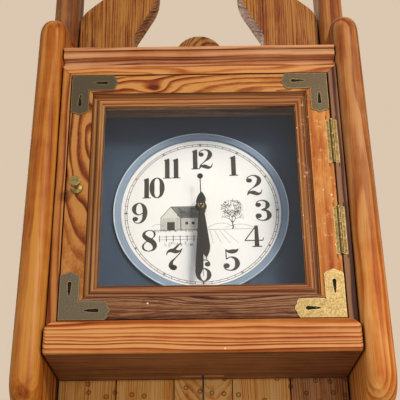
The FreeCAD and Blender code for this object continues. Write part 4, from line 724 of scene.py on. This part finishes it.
wash("farm_openings", openings, ink, 0.02)

corners = [(FRONT_LEFT, GROUND), (FRONT_LEFT, EAVES), (PEAK, RIDGE), (FRONT_RIGHT, EAVES),
           (FRONT_RIGHT, GROUND)]
outline_ends = [(*a, *b) for a, b in zip(corners, corners[1:])]
outline_ends += [(PEAK, RIDGE, ROOF_RIGHT, RIDGE), (ROOF_RIGHT, RIDGE, SIDE_RIGHT, EAVES),
                 (FRONT_RIGHT, EAVES, SIDE_RIGHT, EAVES), (SIDE_RIGHT, EAVES, SIDE_RIGHT, GROUND)]
boards = [(x, GROUND, x, EAVES) for x in np.arange(FRONT_LEFT + 1.5, SIDE_RIGHT, 1.7)]
strokes = [lines(*outline_ends, width=0.8), lines(*boards, width=0.4),
           hatch((PEAK + 8, EAVES + 1), (ROOF_RIGHT - 1, RIDGE - 1), 150, (0.65, -0.75), 3.2, 0.5)]
# low hills, the ground line and the furrows of a ploughed field
slope = np.linspace(0, 1, 15)
for left, right, foot, rise in ((-66, -50, -20, 3.0), (6, 44, -24, 7.0), (30, 68, -24, 5.0)):
    x, z = left + (right - left) * slope, foot + rise * np.sin(math.pi * slope)
    strokes.append(lines(*np.stack([x[:-1], z[:-1], x[1:], z[1:]], 1), width=0.4))
strokes += [lines((-66, GROUND, 66, GROUND), width=0.5),
            lines(*[(10 + 6 * k, GROUND - 1, 14 + 11 * k, -46) for k in range(4)], width=0.35),
            hatch((-64, GROUND - 3), (2, GROUND), 90, (0.15, 1.0), 2.2, 0.45),
            hatch((-50, -50), (-12, -44), 60, (0.1, 1.0), 2.6, 0.4)]
# a fence of upright posts and two level rails
posts = np.arange(-56.0, 0.0, 9.0)
strokes += [lines(*[(x, -42, x, -33) for x in posts], width=1.0),
            lines((posts[0], -35, posts[-1], -35), (posts[0], -39, posts[-1], -39), width=0.5)]


def tree(root, height, width, forks):
    """A bare tree: every branch parts in two or three, each a shorter, thinner branch turned to one side."""
    level = np.array([[*root, math.pi / 2, height, width]])
    grown = []
    for step in range(forks):
        x, z, way, long, thick = level.T
        tip_x, tip_z = x + long * np.cos(way), z + long * np.sin(way)
        bend = draw.normal(0, 0.05, len(level)) * long
        grown.append(np.stack([np.stack([x, z, thick], 1),
                               np.stack([(x + tip_x) / 2 + bend, (z + tip_z) / 2, thick * 0.85], 1),
                               np.stack([tip_x, tip_z, thick * 0.7], 1)], 1))
        parts = []
        for side in ((-1, 1) if step % 2 else (-1, 0.1, 1)):
            turn = side * (0.42 + 0.25 * draw.random(len(level))) + draw.normal(0, 0.1, len(level))
            parts.append(np.stack([tip_x, tip_z, way + turn, long * (0.70 + 0.16 * draw.random(len(level))),
                                   np.maximum(thick * 0.66, 0.24)], 1))
        level = np.concatenate(parts)
    return np.concatenate(grown)


# one round tree in the field: branches, and a crown of dabs
strokes += [tree((40, GROUND), 9.0, 1.8, 5), scribble((40, 4), (14, 13), 260, 1.7, 0.7)]
printing("farm_drawing", [np.concatenate(strokes)], ink)

# ------------------------------------------------------------------ hand nut, and painted shade in the bracket slots
def collar(outer, inner, front, back):
    """A flat ring from front to back: outer and inner are matching rings of points (x, z) round one middle."""
    rings = [np.insert(ring, 1, level, axis=1) for ring, level in
             ((outer, front), (outer, back), (inner, back), (inner, front))]
    count = len(outer)
    k, r = np.meshgrid(np.arange(count), np.arange(4))
    faces = np.stack([r * count + k, r * count + (k + 1) % count, (r + 1) % 4 * count + (k + 1) % count,
                      (r + 1) % 4 * count + k], -1)
    return np.concatenate(rings), faces.reshape(-1, 4)


RING_STATIONS = 48    # points round a ring; a polygon of as many sides is a circle


def polygon(sides, radius):
    """Points (x, z) round a regular polygon of the radius to its corners, about the hands' middle."""
    turn = np.arange(RING_STATIONS) / RING_STATIONS * 2 * math.pi
    reach = radius * math.cos(math.pi / sides) / np.cos((turn % (2 * math.pi / sides)) - math.pi / sides)
    return np.stack([reach * np.cos(turn), HANDS_Z + reach * np.sin(turn)], 1)


# A hexagonal brass nut holds the minute hand on its arbor, over a thin brass washer.
NUT_FRONT, WASHER_FRONT, HAND_FRONT = -98.7, -97.1, -96.55    # faces across Y (mm)
NUT_RADIUS, WASHER_RADIUS, ARBOR_RADIUS = 3.3, 4.3, 1.3
hand_brass = metal("hand_nut_brass", "b39a5e", "80683a", 0.4, 0.4)
for name, sides, radius, front, back in (
        ("minute_hand_washer", RING_STATIONS, WASHER_RADIUS, WASHER_FRONT, HAND_FRONT),
        ("minute_hand_nut", 6, NUT_RADIUS, NUT_FRONT, WASHER_FRONT)):
    points, faces = collar(polygon(sides, radius), polygon(RING_STATIONS, ARBOR_RADIUS), front, back)
    piece(name, points, faces, hand_brass, "minute_train")

# Dark plates fill the brackets' slots, two in each L, which read as black wedges against the brass: painted
# shade in the slots, together with the old polish packed in them.
SLOT_HEAD, SLOT_TAIL, SLOT_ASIDE = 46.0, 31.5, 12.0    # along the arm from the corner, and in from its edge
DARK_FILL_PAST_HEAD, DARK_FILL_HEAD_WIDE, DARK_FILL_TAIL_WIDE = 0.14, 4.7, 1.5
DARK_FILL_FRONT, DARK_FILL_BACK = -146.9, -146.05
slot_shade_and_wax = painted("dark_slot_shade_and_wax", "1c140d", "0d0906", 0.7, patch=2.0, specular=0.2)
wedges = []
for x_side, z_side in ((-1, 1), (1, 1), (-1, -1), (1, -1)):
    corner = np.array([x_side * DOOR_HALF_WIDE, HANDS_Z + z_side * DOOR_HALF_HIGH])
    level, upright = np.array([-x_side, 0.0]), np.array([0.0, -z_side])
    for along, aside in ((level, upright), (upright, level)):
        head, tail = (corner + along * reach + aside * SLOT_ASIDE for reach in (SLOT_HEAD, SLOT_TAIL))
        wedges.append(bar(*(head + (head - tail) * DARK_FILL_PAST_HEAD), *tail, DARK_FILL_HEAD_WIDE, DARK_FILL_TAIL_WIDE))
points, faces = slabs(np.array(wedges), DARK_FILL_FRONT, DARK_FILL_BACK)
piece("bracket_slot_shade_and_wax", points, faces, slot_shade_and_wax, "door")

# ------------------------------------------------------------------ floor and light
FLOOR_Z, FLOOR_HALF = -1.6, 4.0    # m
floor_mesh = bpy.data.meshes.new("floor")
floor_sides = ((-1, -1), (1, -1), (1, 1), (-1, 1))
floor_mesh.from_pydata([(x * FLOOR_HALF, y * FLOOR_HALF, FLOOR_Z) for x, y in floor_sides],
                       [], [(0, 1, 2, 3)])
floor_mesh.materials.append(painted("pale_floor", "e9e0d4", "e4dacd", 0.8, patch=900.0))
floor = bpy.data.objects.new("floor", floor_mesh)
bpy.context.scene.collection.objects.link(floor)


def lamp(name, at, towards, size, power, shade):
    """A square soft lamp at a place, facing a point: its -Z axis lies along the line between them."""
    light = bpy.data.lights.new(name, "AREA")
    light.shape, light.size, light.energy, light.color = "SQUARE", size, power, colour(shade)[:3]
    made = bpy.data.objects.new(name, light)
    bpy.context.scene.collection.objects.link(made)
    made.location = at
    made.rotation_euler = (Vector(towards) - Vector(at)).to_track_quat("-Z", "Y").to_euler()


MIDDLE = (0.0, -0.1, -0.27)    # the dial (m)
lamp("key_lamp", (1.25, -2.3, 0.75), MIDDLE, 0.42, 51.0, "ffeedb")
lamp("fill_lamp", (-1.9, -1.7, 0.35), MIDDLE, 1.4, 9.0, "eef3ff")
lamp("low_lamp", (0.3, -2.4, -1.0), MIDDLE, 0.9, 7.0, "d9e5ff")
lamp("back_lamp", (-0.8, 2.4, 0.9), MIDDLE, 1.4, 22.0, "fff6ea")

# the room: a plain cream wall all round, which gives less light than it shows
world = bpy.data.worlds.new("studio")
bpy.context.scene.world = world
world.use_nodes = True
room = world.node_tree
room.nodes.clear()
shown_wall = add(room, "Background", {"Color": colour("dcc7b0"), "Strength": 1.0})
wall_light = add(room, "Background", {"Color": colour("ecdcc8"), "Strength": 0.5})
seen = add(room, "LightPath").outputs["Is Camera Ray"]
add(room, "OutputWorld", {"Surface": add(room, "MixShader", {0: seen, 1: wall_light, 2: shown_wall})})
bpy.context.scene.view_settings.view_transform = "Standard"
